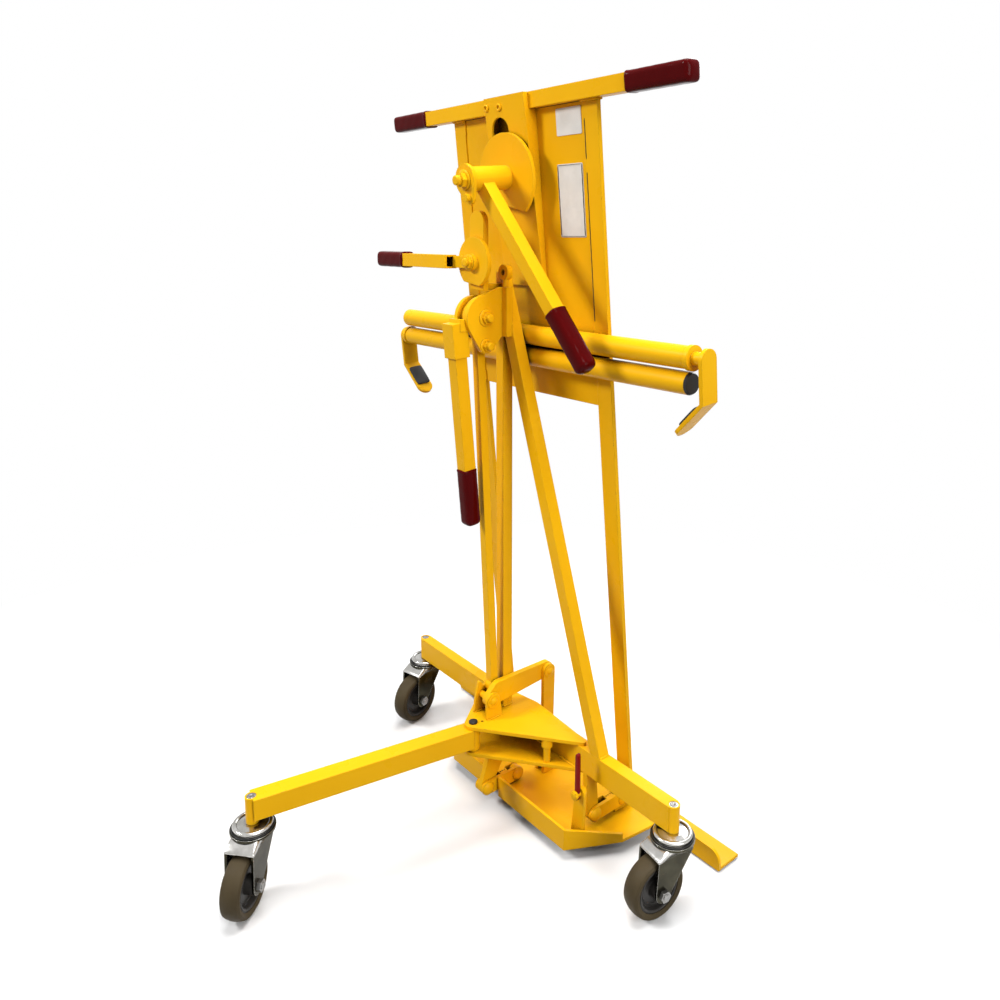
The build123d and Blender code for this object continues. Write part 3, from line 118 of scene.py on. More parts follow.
class Finish:
    """Principled material with short calls for its procedural nodes."""

    def __init__(self, name, sockets):
        self.material = bpy.data.materials.new(name)
        self.material.use_nodes = True
        self.tree = self.material.node_tree
        self.shader = self.tree.nodes["Principled BSDF"]
        for socket, value in sockets.items():
            self.shader.inputs[socket].default_value = value
        self.place = self.tree.nodes.new("ShaderNodeTexCoord").outputs["Object"]

    def add(self, kind, inputs, **settings):
        node = self.tree.nodes.new("ShaderNode" + kind)
        for setting, value in settings.items():
            setattr(node, setting, value)
        for socket, value in inputs.items():
            if isinstance(value, bpy.types.NodeSocket):
                self.tree.links.new(value, node.inputs[socket])
            else:
                node.inputs[socket].default_value = value
        return node

    def noise(self, scale, detail=2.0, place=None):
        inputs = {"Vector": place or self.place, "Scale": scale, "Detail": detail}
        return self.add("TexNoise", inputs).outputs["Fac"]

    def spread(self, value, low, high, to_low=0.0, to_high=1.0):
        """Value from low to high, carried over to another range and held there."""
        inputs = {0: value, 1: low, 2: high, 3: to_low, 4: to_high}
        return self.add("MapRange", inputs).outputs[0]

    def uneven(self, scale, detail, between=(0.0, 1.0)):
        """Value that drifts between two others over the surface."""
        return self.spread(self.noise(scale, detail), NOISE_LOW, NOISE_HIGH, *between)

    def math(self, operation, first, second):
        return self.add("Math", {0: first, 1: second}, operation=operation).outputs[0]

    def times(self, first, second):
        return self.math("MULTIPLY", first, second)

    def larger(self, first, second):
        return self.math("MAXIMUM", first, second)

    def mix(self, factor, first, second):
        inputs = {0: factor, 6: first, 7: second}
        return self.add("Mix", inputs, data_type="RGBA").outputs[2]

    def stretch(self, x, y, z):
        inputs = {"Vector": self.place, "Scale": (x, y, z)}
        return self.add("Mapping", inputs).outputs[0]

    def along_x(self):
        return self.add("SeparateXYZ", {0: self.place}).outputs["X"]

    def soft_normal(self, radius):
        """Normal that rounds the edges by a radius in millimetres."""
        return self.add("Bevel", {"Radius": radius * MM}, samples=4).outputs[0]

    def edges(self, normal):
        """0 on flats, 1 where the rounded normal leaves the face's own."""
        own = self.add("NewGeometry", {}).outputs["Normal"]
        turn = self.add("VectorMath", {0: normal, 1: own}, operation="DOT_PRODUCT").outputs["Value"]
        return self.spread(turn, EDGE_START, EDGE_FULL)

    def corners(self, reach, start=0.55, full=0.15):
        """0 in the open, 1 in corners that are tight within a reach in millimetres."""
        shade = self.add("AmbientOcclusion", {"Distance": reach * MM}, samples=6).outputs["AO"]
        return self.spread(shade, start, full)

    def bump(self, height, strength, depth, normal):
        """Raised skin on a normal, with its depth in millimetres."""
        inputs = {"Strength": strength, "Distance": depth * MM, "Height": height, "Normal": normal}
        return self.add("Bump", inputs).outputs[0]

    def done(self, **links):
        for socket, value in links.items():
            self.tree.links.new(value, self.shader.inputs[socket.replace("_", " ")])
        return self.material


def paint_colour(look, edge):
    """Safety yellow with slow drift, a painted highlight on the edges, small chips, dirt and painted shade in the
    corners, and painted shade deep in hollows.
    """
    drift = look.spread(look.noise(scale=6.0, detail=3.0), low=0.35, high=0.7)
    colour = look.mix(drift, PAINT, PAINT_DEEP)
    # Painted highlight: the edges are lightened as if they caught the light
    highlight_share = 0.35
    colour = look.mix(look.times(edge, highlight_share), colour, PAINT_EDGE_HIGHLIGHT)
    patchy = look.spread(look.noise(scale=75.0, detail=4.0), low=0.62, high=0.69)
    chip = look.times(patchy, look.spread(edge, low=0.55, high=0.95))
    colour = look.mix(chip, colour, PAINT_CHIP)
    # Darkening in corners within 14 mm: partly dirt, partly painted shade where the corners fall into shadow
    smut = look.spread(look.noise(scale=50.0, detail=4.0), low=0.3, high=0.6, to_low=0.35, to_high=0.85)
    dirt_and_shade = look.times(look.corners(reach=14.0), smut)
    colour = look.mix(dirt_and_shade, colour, PAINT_DIRT_AND_SHADE)
    # Painted shade: colour goes near black deep in hollows, such as inside the channel
    return look.mix(look.corners(reach=70.0, start=0.3, full=0.1), colour, PAINTED_HOLLOW_SHADE)


def paint(name, edge_r, peel):
    """Gloss paint with an orange peel skin."""
    look = Finish(name, {"Specular IOR Level": 0.08})
    round_normal = look.soft_normal(edge_r)
    colour = paint_colour(look, look.edges(round_normal))
    shine = look.spread(look.noise(scale=28.0, detail=4.0), low=0.3, high=0.75, to_low=0.24, to_high=0.4)
    skin = look.bump(look.noise(scale=420.0), peel, depth=0.4, normal=round_normal)
    return look.done(Base_Color=colour, Roughness=shine, Normal=skin)


def plated(name, base, deep, rough, worn):
    """Plated steel: cloudy tint, worn edges, painted shade in the corners, fine drawing marks and an uneven shine.
    """
    look = Finish(name, {"Metallic": 1.0})
    round_normal = look.soft_normal(radius=0.8)
    colour = look.mix(look.uneven(scale=38.0, detail=4.0), base, deep)
    colour = look.mix(look.times(look.edges(round_normal), worn), colour, PLATING_WORN)
    # Painted shade: the plating darkens in corners within 25 mm
    colour = look.mix(look.corners(reach=25.0, start=0.75, full=0.2), colour, PLATING_PAINTED_SHADE)
    shine = look.uneven(scale=90.0, detail=5.0, between=rough)
    scratches = look.noise(scale=900.0, detail=3.0)
    marks = look.bump(scratches, strength=0.08, depth=0.15, normal=round_normal)
    return look.done(Base_Color=colour, Roughness=shine, Normal=marks)


def moulded(name, base, pale, rough, grain, depth, specular=0.3, edge_r=1.0):
    """Moulded or dipped plastic: soft mottling, a fine skin and scuffed edges."""
    look = Finish(name, {"Specular IOR Level": specular})
    round_normal = look.soft_normal(edge_r)
    mottle_share = 0.35
    mottle = look.spread(look.noise(scale=22.0, detail=4.0), low=0.35, high=0.75)
    rubbed = look.spread(look.noise(scale=60.0, detail=3.0), low=0.4, high=0.7)
    scuff = look.times(look.edges(round_normal), rubbed)
    colour = look.mix(look.larger(look.times(mottle, mottle_share), scuff), base, pale)
    shine = look.uneven(scale=40.0, detail=3.0, between=rough)
    skin = look.bump(look.noise(scale=grain, detail=3.0), strength=0.25, depth=depth, normal=round_normal)
    return look.done(Base_Color=colour, Roughness=shine, Normal=skin)


def end_caps(name):
    """The cap of the left tube end is painted over, the right one is bare black plastic."""
    look = Finish(name, {"Specular IOR Level": 0.25})
    round_normal = look.soft_normal(radius=1.0)
    painted = paint_colour(look, look.edges(round_normal))
    black = look.mix(look.noise(scale=60.0, detail=3.0), CAP_BLACK, CAP_GREY)
    right_hand = look.spread(look.along_x(), low=-10 * MM, high=10 * MM)
    colour = look.mix(right_hand, painted, black)
    shine = look.uneven(scale=40.0, detail=3.0, between=(0.28, 0.45))
    return look.done(Base_Color=colour, Roughness=shine, Normal=round_normal)


def bare_plate(name):
    """Pale plate with nothing on it: faint cloud and handling marks."""
    look = Finish(name, {"Specular IOR Level": 0.3})
    cloud = look.spread(look.noise(scale=45.0, detail=4.0), low=0.35, high=0.7)
    colour = look.mix(cloud, PLATE_PALE, PLATE_CLOUD)
    smear_share = 0.4
    wiped = look.noise(scale=14.0, detail=5.0, place=look.stretch(x=1.0, y=1.0, z=4.0))
    smear = look.times(look.spread(wiped, low=0.62, high=0.75), smear_share)
    colour = look.mix(smear, colour, PLATE_SMEAR)
    shine = look.uneven(scale=60.0, detail=3.0, between=(0.4, 0.6))
    return look.done(Base_Color=colour, Roughness=shine, Normal=look.soft_normal(radius=0.4))


YELLOW = paint("yellow_gloss_paint", edge_r=1.5, peel=0.06)
WELD = paint("yellow_painted_weld", edge_r=0.5, peel=0.12)
CHROME = plated(
    "bright_zinc", rgb(0.6, 0.59, 0.57), rgb(0.34, 0.33, 0.3), rough=(0.1, 0.26), worn=0.4,
)
# Fork plating: olive chromate, darkened as painted shade that stands in for dark reflections on the fork's sides
FORK = plated(
    "olive_zinc_darkened_as_shade", rgb(0.055, 0.051, 0.032), rgb(0.02, 0.018, 0.011), rough=(0.14, 0.3), worn=0.6,
)
STEEL = plated(
    "turned_steel", rgb(0.34, 0.34, 0.34), rgb(0.2, 0.19, 0.18), rough=(0.25, 0.45), worn=0.5,
)
# Tread colour: its brown tint is partly dirt and partly painted reflection, the yellow of the paint bounced onto
# the tyre
RUBBER = moulded(
    "grey_brown_tread", rgb(0.052, 0.038, 0.019), rgb(0.11, 0.082, 0.04),
    rough=(0.5, 0.75), grain=500.0, depth=0.3, specular=0.15,
)
WHEEL = moulded(
    "dark_wheel_centre", rgb(0.02, 0.018, 0.016), rgb(0.07, 0.065, 0.058),
    rough=(0.3, 0.5), grain=800.0, depth=0.15,
)
RED = moulded(
    "dark_red_dip", rgb(0.075, 0.0009, 0.0012), rgb(0.11, 0.002, 0.003),
    rough=(0.07, 0.14), grain=160.0, depth=0.15, specular=0.04, edge_r=2.0,
)
LATCH_RED = moulded(
    "worn_red_dip", rgb(0.2, 0.006, 0.004), rgb(0.3, 0.014, 0.008),
    rough=(0.25, 0.4), grain=200.0, depth=0.15, specular=0.1,
)
BLACK = moulded(
    "black_cap_plastic", rgb(0.009, 0.009, 0.009), rgb(0.035, 0.035, 0.034),
    rough=(0.3, 0.5), grain=900.0, depth=0.1,
)
PAD = moulded(
    "dark_pad_rubber", rgb(0.022, 0.022, 0.024), rgb(0.06, 0.06, 0.062),
    rough=(0.55, 0.8), grain=700.0, depth=0.4,
)
# Dark brown for painted shadow lines in open seams and under the handlebar's overhang
SEAM_SHADOW = moulded(
    "painted_seam_shadow", rgb(0.05, 0.022, 0.004), rgb(0.09, 0.04, 0.006),
    rough=(0.6, 0.8), grain=700.0, depth=0.2,
)
PLATE = bare_plate("bare_plate")

FINISHES = {
    "yellow_paint": YELLOW, "chrome_plate": CHROME, "steel": STEEL, "wheel_rubber": RUBBER,
    "wheel_plastic": WHEEL, "red_dip": RED, "black_plastic": BLACK, "pad_rubber": PAD,
}
slot_of = {part["node"]: part["material_slot"] for part in frame["record"]["subparts"]}
special = {"tube_caps": end_caps("painted_and_black_caps")}
for name, node in nodes.items():
    # Fork nodes take the plating darkened as painted shade
    finish = FORK if name.endswith("_fork") else special.get(name, FINISHES[slot_of[name]])
    node.data.materials.clear()
    node.data.materials.append(finish)


# Mesh tools


def piece(name, mesh, finish, body, smooth=True):
    """Finish a bmesh as a piece that rides on a body."""
    bmesh.ops.recalc_face_normals(mesh, faces=mesh.faces)
    data = bpy.data.meshes.new(name)
    mesh.to_mesh(data)
    mesh.free()
    data.materials.append(finish)
    for face in data.polygons:
        face.use_smooth = smooth
    obj = bpy.data.objects.new(name, data)
    bpy.context.scene.collection.objects.link(obj)
    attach(obj, body)
    return obj


# A direction this near to the vertical counts as upright
UPRIGHT_SHARE = 0.9


def frame_matrix(origin, along, out):
    """Local frame at an origin: z along out, x as near to along as it can be."""
    z = out.normalized()
    x = (along - along.dot(z) * z).normalized()
    y = z.cross(x)
    turn = Matrix((x, y, z)).transposed().to_4x4()
    return Matrix.Translation(origin) @ turn


def facing(origin, out):
    """Local frame at an origin with z along out."""
    along = Z if abs(out.z) < UPRIGHT_SHARE else X
    return frame_matrix(origin, along, out)


def turns(count):
    """Angles spaced evenly round a full turn."""
    return [2 * pi * i / count for i in range(count)]


def loft(mesh, rings, closed=False):
    """Skin over rings of points, capped at both ends or joined into a loop."""
    loops = [[mesh.verts.new(point) for point in ring] for ring in rings]
    count = len(loops[0])
    pairs = list(zip(loops, loops[1:]))
    if closed:
        pairs.append((loops[-1], loops[0]))
    for lower, upper in pairs:
        for i in range(count):
            j = (i + 1) % count
            mesh.faces.new((lower[i], lower[j], upper[j], upper[i]))
    if not closed:
        mesh.faces.new(list(reversed(loops[0])))
        mesh.faces.new(loops[-1])


def circle(place, radius, height, around, sides=0):
    """Ring of points round local z; with sides it is a regular polygon of that inner radius."""
    ring = []
    for turn in turns(around):
        reach = radius
        if sides:
            step = 2 * pi / sides
            reach = radius / cos(turn % step - step / 2)
        ring.append(place @ (Vector((reach * cos(turn), reach * sin(turn), height)) * MM))
    return ring


def turned(mesh, place, profile, around=36, closed=False):
    """Turned solid from (radius, height) or (radius, height, sides)."""
    rings = [circle(place, step[0], step[1], around, *step[2:]) for step in profile]
    loft(mesh, rings, closed)


def washer(mesh, origin, out, bore, radius, thick):
    """Washer with its upper edges softened."""
    soft = 0.3 * thick
    profile = (
        (bore, 0), (radius, 0), (radius, thick - soft), (radius - soft, thick),
        (bore + soft, thick), (bore, thick - soft),
    )
    turned(mesh, facing(origin, out), profile, closed=True)


def thread(mesh, origin, out, radius, length, pitch):
    """Screw thread over a bolt's tail, running out to a chamfered end."""
    place = facing(origin, out)
    around = 30
    rings_per_turn = 6
    root = radius + 0.05
    depth = 0.55
    run_out = 0.8 * pitch
    end_radius = 0.7 * radius
    end_rise = 0.15
    steps = ceil(length / pitch * rings_per_turn)
    rings = []
    for k in range(steps + 1):
        height = length * k / steps
        end = min(1.0, (length - height) / run_out)
        ring = []
        for turn in turns(around):
            phase = (height / pitch + turn / (2 * pi)) % 1.0
            crest = 1.0 - abs(2.0 * phase - 1.0)
            reach = root + depth * crest * end
            ring.append(place @ (Vector((reach * cos(turn), reach * sin(turn), height)) * MM))
        rings.append(ring)
    rings.append(circle(place, end_radius, length + end_rise, around))
    loft(mesh, rings)


def bead(mesh, start, end, radius, ripple=2.2, flat=0.75):
    """Weld bead between two points: overlapping ripples that taper at both ends."""
    run = end - start
    length = run.length / MM
    way = run.normalized()
    side = way.cross(Z) if abs(way.z) < UPRIGHT_SHARE else way.cross(Y)
    side.normalize()
    rise = side.cross(way)
    around = 10
    least_steps = 8
    steps_per_ripple = 5
    swell = 0.14
    taper_run = 1.3 * radius
    tip = 0.12
    sway = 0.12 * radius
    sway_phase = 0.9
    drift = 1.7
    drift_phase = 0.37
    steps = max(least_steps, ceil(length / ripple * steps_per_ripple))
    rings = []
    for k in range(steps + 1):
        along = length * k / steps
        wave = (along / ripple) % 1.0
        inside = min(1.0, min(along, length - along) / taper_run)
        taper = sqrt(max(tip, 1.0 - (1.0 - inside) ** 2))
        reach = radius * (1.0 - swell + swell * sin(pi * wave)) * taper
        wander = sway * sin(sway_phase * along + drift * sin(drift_phase * along))
        ring = []
        for turn in turns(around):
            across = side * (reach * cos(turn) + wander)
            above = rise * (reach * flat * sin(turn))
            ring.append(start + way * along * MM + (across + above) * MM)
        rings.append(ring)
    loft(mesh, rings)


def dark_line(mesh, start, end, radius, flat=0.5):
    """Bead with ripples too long to see: a painted shadow line along open seams, or a printed border."""
    bead(mesh, start, end, radius, ripple=12.0, flat=flat)


def closed_beads(mesh, corners, radius):
    """Beads round a closed polygon."""
    for start, end in zip(corners, corners[1:] + corners[:1]):
        bead(mesh, start, end, radius)


# Hook pads
PAD_LENGTH = 36.0
PAD_WIDTH = 24.0
PAD_THICK = 3.0
PAD_FROM_BEND = 27.0
PAD_SQUARENESS = 0.3
PAD_AROUND = 48
HOOK_DROP = 48.0
TUBE_N = 16.5
TUBE_UPPER = 699.0
TUBE_LOWER = 669.0

# Side, height of the tube up the lean, and how far out the hook's plate is
HOOKS = {"right": (1, TUBE_UPPER, 312.0), "left": (-1, TUBE_LOWER, 313.0)}

# Share of the pad's outline at each share of its thickness
PAD_LEVELS = (
    (0.96, 0.05), (1.0, 0.3), (1.0, 0.62), (0.96, 0.86),
    (0.88, 0.97), (0.7, 1.0), (0.45, 1.04), (0.2, 1.06),
)


def squared(value):
    """Sine or cosine drawn towards its ends, which turns a circle into a soft square."""
    return copysign(abs(value) ** PAD_SQUARENESS, value)


def pad(name, side, s, plate_x):
    """Crowned rubber pad with a rolled rim, on the inner face of a hook's bent tip."""
    bend = on_carrier(side * plate_x, s - HOOK_DROP, TUBE_N)
    inward = Vector((-side, 0, 0))
    down = -UP_LEAN
    tip_way = (inward + down).normalized()
    outside = (down - inward).normalized()
    place = frame_matrix(bend + tip_way * PAD_FROM_BEND * MM, tip_way, -outside)
    mesh = bmesh.new()
    rings = []
    for share, height in PAD_LEVELS:
        ring = []
        for turn in turns(PAD_AROUND):
            u = squared(cos(turn)) * share * PAD_LENGTH / 2
            v = squared(sin(turn)) * share * PAD_WIDTH / 2
            ring.append(place @ (Vector((u, v, height * PAD_THICK)) * MM))
        rings.append(ring)
    loft(mesh, rings)
    obj = piece(f"hook_cushion_{name}", mesh, PAD, f"{name}_hook")
    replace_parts(obj, f"hook_pad_{name}")


for name, hook in HOOKS.items():
    pad(name, *hook)

# Dipped grips: a rolled lip, a soft square sleeve and a rounded end
GRIP_AROUND = 48
GRIP_STRAIGHT_RINGS = 18
GRIP_END_RINGS = 12
GRIP_CLOSE = 3.0
GRIP_FALL = 2.6

# The last ring stops short of a point by this share of a step
GRIP_END_GAP = 0.4

# Distance from the open end and share of the half width
GRIP_LIP = ((0.0, 0.94), (0.5, 0.99), (1.2, 1.03), (2.2, 1.035), (3.4, 1.01))
GRIP_LIP_END = 4.5

# Share of the half width, turn of the phase along the grip and lobes round it
GRIP_WRINKLES = ((0.006, 0.31, 3), (0.004, 0.83, -2))


class Grip(NamedTuple):
    """Dip on the end of a bar: where it ends, which way it points, and its shape."""

    tip: Vector
    way: Vector
    upright: Vector
    half: float
    squareness: float
    length: float
    dome: float


def grip_ring(place, along, half, squareness):
    """Ring of a soft square that bulges and wrinkles a little along the grip."""
    ring = []
    for turn in turns(GRIP_AROUND):
        across, rise = cos(turn), sin(turn)
        reach = half * (abs(across) ** squareness + abs(rise) ** squareness) ** (-1 / squareness)
        reach *= 1 + sum(share * sin(phase * along + lobes * turn) for share, phase, lobes in GRIP_WRINKLES)
        ring.append(place @ (Vector((reach * across, reach * rise, along)) * MM))
    return ring


def dipped_grip(mesh, grip):
    place = frame_matrix(grip.tip, grip.upright, grip.way)
    rows = [(along - grip.length, share) for along, share in GRIP_LIP]
    straight = grip.length - GRIP_CLOSE - GRIP_LIP_END
    for k in range(GRIP_STRAIGHT_RINGS + 1):
        run = GRIP_LIP_END + straight * k / GRIP_STRAIGHT_RINGS
        rows.append((run - grip.length, 1.0))
    for k in range(1, GRIP_END_RINGS + 1):
        rise = sin(pi / 2 * k / (GRIP_END_RINGS + GRIP_END_GAP))
        share = (1 - rise ** GRIP_FALL) ** (1 / GRIP_FALL)
        rows.append((rise * (GRIP_CLOSE + grip.dome) - GRIP_CLOSE, share))
    loft(mesh, [grip_ring(place, along, grip.half * share, grip.squareness) for along, share in rows])


def grip_piece(name, body, node, *grips):
    mesh = bmesh.new()
    for grip in grips:
        dipped_grip(mesh, grip)
    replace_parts(piece(name, mesh, RED, body), node)


bar_low, bar_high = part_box("handlebar")
bar_middle = (bar_low + bar_high) / 2
bar_reach = (bar_high.x - bar_low.x) / 2
bar_grips = []
for side in SIDES:
    bar_end = bar_middle + X * side * bar_reach
    bar_grips.append(Grip(bar_end, X * side, UP_LEAN, half=11.9, squareness=5.0, length=88.0, dome=4.2))
grip_piece("dipped_handlebar_grips", "carrier", "handlebar_grips", *bar_grips)

TILT_BAR_N = 66.0
TILT_LENGTH = 288.0
TILT_ANGLE = radians(-52)
tilt_way = X * cos(TILT_ANGLE) + UP_LEAN * sin(TILT_ANGLE)
tilt_tip = pivot["tilt_turn"] + (OUT_LEAN * TILT_BAR_N + tilt_way * TILT_LENGTH) * MM
tilt_grip = Grip(tilt_tip, tilt_way, OUT_LEAN, half=12.4, squareness=3.0, length=80.0, dome=6.5)
grip_piece("dipped_tilt_grip", "tilt_lever", "tilt_lever_grip", tilt_grip)

LIFT_SLOPE = radians(4.9)
LIFT_MOUTH = (-18.0, -108.0, 716.5)
LIFT_DIP_END = 277.0
lift_way = Vector((0, sin(LIFT_SLOPE), -cos(LIFT_SLOPE)))
lift_tip = at(*LIFT_MOUTH) + lift_way * LIFT_DIP_END * MM
lift_grip = Grip(lift_tip, lift_way, X, half=11.4, squareness=3.8, length=76.0, dome=5.5)
grip_piece("dipped_lift_grip", "lift_lever", "lift_lever_grip", lift_grip)

CLAMP_LENGTH = 216.0
CLAMP_BAR_OUT = 15.3
clamp_tip = pivot["clamp_turn"] - (X * CLAMP_LENGTH + Y * CLAMP_BAR_OUT) * MM
clamp_grip = Grip(clamp_tip, -X, Z, half=11.3, squareness=4.0, length=68.0, dome=5.5)
grip_piece("dipped_clamp_grip", "clamp_lever", "clamp_lever_grip", clamp_grip)

# Welds of the base: mast, strut, head plate, hub plates, lugs and caster posts
MAST_X = -18.0
MAST_Y = -26.0
MAST_HALF = 8.0
BEAM_TOP = 140.0
BEAM_BASE = 105.0
BEAM_FRONT = -9.0
BEAM_LEFT = -276.0
BEAM_RIGHT = 290.0
DECK = 145.0
HUB_BASE = 100.0

# Bead radii, and how far the middle of a bead stands off the face it lies on
MAST_BEAD = 2.4
HEAD_BEAD = 2.2
HUB_BEAD = 2.0
FOLD_BEAD = 1.8
LUG_BEAD = 1.7
POST_BEAD = 1.3
STAND = 0.6
LUG_STAND = 0.5

# Runs and stitches are where a weld starts and ends; ear and hanger welds are an x, then that in y
MAST_CORNERS = ((-1, -1), (1, -1), (1, 1), (-1, 1))
STRUT_EDGES_X = (149.4, 167.6)
STRUT_RUN_Y = (-8.0, 8.0)
HEAD_EDGES_Y = (-34.3, -22.1)
HEAD_WELD_X = -10.2
HEAD_RUN_Z = (722.0, 778.0)
DECK_EDGES = (((58.0, 8.4), (126.0, 2.6)), ((-82.0, -3.2), (-12.0, 8.2)))
BEAM_STITCHES = ((-70.0, -34.0), (20.0, 62.0), (88.0, 122.0))
EAR_WELDS = ((4.6, -73.0, -48.0), (-29.0, -75.0, -49.0), (-24.3, -75.0, -60.0))
LEFT_HANGER_WELDS = ((-3.6, -58.0, -20.0), (-12.4, -58.0, -20.0))
RIGHT_HANGER_WELDS = ((135.6, -8.0, 8.0), (144.4, -8.0, 8.0))
FOLD_WELD = (11.3, -35.0)
FOLD_RUN_Z = (698.0, 715.0)
POST_WELD_IN = 1.5
POST_WELD_Y = 8.48
POST_RUN_Z = (BEAM_BASE + 1.0, BEAM_TOP - 1.0)

weld = bmesh.new()
mast_foot = [at(MAST_X + i * MAST_HALF, MAST_Y + j * MAST_HALF, DECK + STAND) for i, j in MAST_CORNERS]
closed_beads(weld, mast_foot, MAST_BEAD)
for x in STRUT_EDGES_X:
    start, end = [at(x, y, BEAM_TOP + LUG_STAND) for y in STRUT_RUN_Y]
    bead(weld, start, end, HEAD_BEAD)
for y in HEAD_EDGES_Y:
    start, end = [at(HEAD_WELD_X, y, z) for z in HEAD_RUN_Z]
    bead(weld, start, end, HEAD_BEAD)
for start, end in DECK_EDGES:
    bead(weld, at(*start, BEAM_TOP + STAND), at(*end, BEAM_TOP + STAND), HUB_BEAD)
for left, right in BEAM_STITCHES:
    for z in (BEAM_TOP - STAND, BEAM_BASE + STAND):
        bead(weld, at(left, BEAM_FRONT - STAND, z), at(right, BEAM_FRONT - STAND, z), HUB_BEAD)
lug_welds = (
    (DECK + LUG_STAND, EAR_WELDS), (HUB_BASE - LUG_STAND, LEFT_HANGER_WELDS),
    (BEAM_BASE - LUG_STAND, RIGHT_HANGER_WELDS),
)
for z, runs in lug_welds:
    for x, front, back in runs:
        bead(weld, at(x, front, z), at(x, back, z), LUG_BEAD)
fold_start, fold_end = [at(*FOLD_WELD, z) for z in FOLD_RUN_Z]
bead(weld, fold_start, fold_end, FOLD_BEAD)
for x in (BEAM_LEFT + POST_WELD_IN, BEAM_RIGHT - POST_WELD_IN):
    for side in SIDES:
        start, end = [at(x, side * POST_WELD_Y, z) for z in POST_RUN_Z]
        bead(weld, start, end, POST_BEAD)
piece("base_welds", weld, WELD, "base")

# Welds of the carrier, and painted shadow lines in its open seams: handlebar, panel, hook tubes, feet of the
# uprights and ledge
UPRIGHT_IN = 122.5
UPRIGHT_OUT = 147.5
PANEL_N = 1.5
BAR_FOOT = 993.0
TRAY_TOP = 20.5

# Stitches and seams are where each run starts and ends; bar welds are their n and radius
BAR_WELD_X = (120.0, 149.0)
BAR_WELDS = ((4.2, 2.6), (-4.2, 2.4))
PANEL_BEAD = 1.6
PANEL_STITCHES = ((972.0, 992.0), (909.0, 924.0), (649.0, 724.0), (614.0, 630.0))
REAR_SEAMS = ((924.0, 972.0), (724.0, 909.0), (630.0, 649.0))
REAR_SEAM_N = -1.6
TUBE_BEAD = 2.2
TUBE_WELD_N = 4.6
TUBE_EDGES = (-7.5, 7.5)
FOOT_BEAD = 1.8
FOOT_CORNERS = ((121.5, 77.4), (148.5, 77.4), (148.5, 85.0), (121.5, 85.0))
SEAM_R = 0.7
LAP_R = 0.8
LAP_X = 124.5
LAP_N = 3.1
LAP_SEAMS = ((924.0, 972.0), (724.0, 909.0))
TOP_SEAMS = ((36.0, 120.0), (-120.0, -50.0))
TOP_SEAM_N = 1.9
TOP_SEAM_S = BAR_FOOT - 0.4
LEDGE_BEAD = 2.0
LEDGE_STITCHES = ((-190.0, -120.0), (-60.0, 20.0), (90.0, 180.0))

weld = bmesh.new()
# Dark lines in the open seams beside the uprights and under the handlebar are painted shadow
seam_shadow_lines = bmesh.new()
for side in SIDES:
    for n, radius in BAR_WELDS:
        start, end = [on_carrier(side * x, BAR_FOOT - LUG_STAND, n) for x in BAR_WELD_X]
        bead(weld, start, end, radius)
    joint_x = side * UPRIGHT_IN
    for low, high in PANEL_STITCHES:
        for n in (PANEL_N + STAND, -PANEL_N - STAND):
            bead(weld, on_carrier(joint_x, low, n), on_carrier(joint_x, high, n), PANEL_BEAD)
    for low, high in REAR_SEAMS:
        start = on_carrier(joint_x, low, REAR_SEAM_N)
        dark_line(seam_shadow_lines, start, on_carrier(joint_x, high, REAR_SEAM_N), SEAM_R)
    for s in (TUBE_UPPER, TUBE_LOWER):
        for edge in TUBE_EDGES:
            start = on_carrier(joint_x, s + edge, TUBE_WELD_N)
            bead(weld, start, on_carrier(side * UPRIGHT_OUT, s + edge, TUBE_WELD_N), TUBE_BEAD)
    foot = [at(side * x, y, TRAY_TOP + STAND) for x, y in FOOT_CORNERS]
    closed_beads(weld, foot, FOOT_BEAD)
for low, high in LAP_SEAMS:
    dark_line(seam_shadow_lines, on_carrier(LAP_X, low, LAP_N), on_carrier(LAP_X, high, LAP_N), LAP_R)
# Painted shadow under the handlebar's overhang, along the top of the panel
for n in (TOP_SEAM_N, -TOP_SEAM_N):
    for left, right in TOP_SEAMS:
        dark_line(seam_shadow_lines, on_carrier(left, TOP_SEAM_S, n), on_carrier(right, TOP_SEAM_S, n), SEAM_R)
for ends in LEDGE_STITCHES:
    start, end = [at(x, LEDGE_FRONT - LUG_STAND, TRAY_TOP + LUG_STAND) for x in ends]
    bead(weld, start, end, LEDGE_BEAD)
piece("carrier_welds", weld, WELD, "carrier")
piece("carrier_painted_seam_shadows", seam_shadow_lines, SEAM_SHADOW, "carrier")

# Bolt washers, thread ends and screws
BOLT_R = 5.0
BOLT_BORE = 5.2
BOLT_PITCH = 1.5
SPINDLE_R = 6.0
SPINDLE_BORE = 6.2
SPINDLE_PITCH = 1.75
LEVER_Y = -71.0
HEAD_FACE = 1.3
HEAD_NUT_FACE = 7.3
CLAMP_FACE = -84.6
CLAMP_NUT = 5.0
ROCKER_PIN = (-62.5, 170.5)
EAR_FACE = 4.2
DROP_FACE = 6.2
CHANNEL_X = -7.0
TILT_S = 910.0
FLANGE_FACE = 93.1
SPINDLE_NUT_FACE = 101.3

# Height and radius of the washers on the mast head
HEAD_WASHERS = ((722.5, 11.5), (685.5, 10.0))

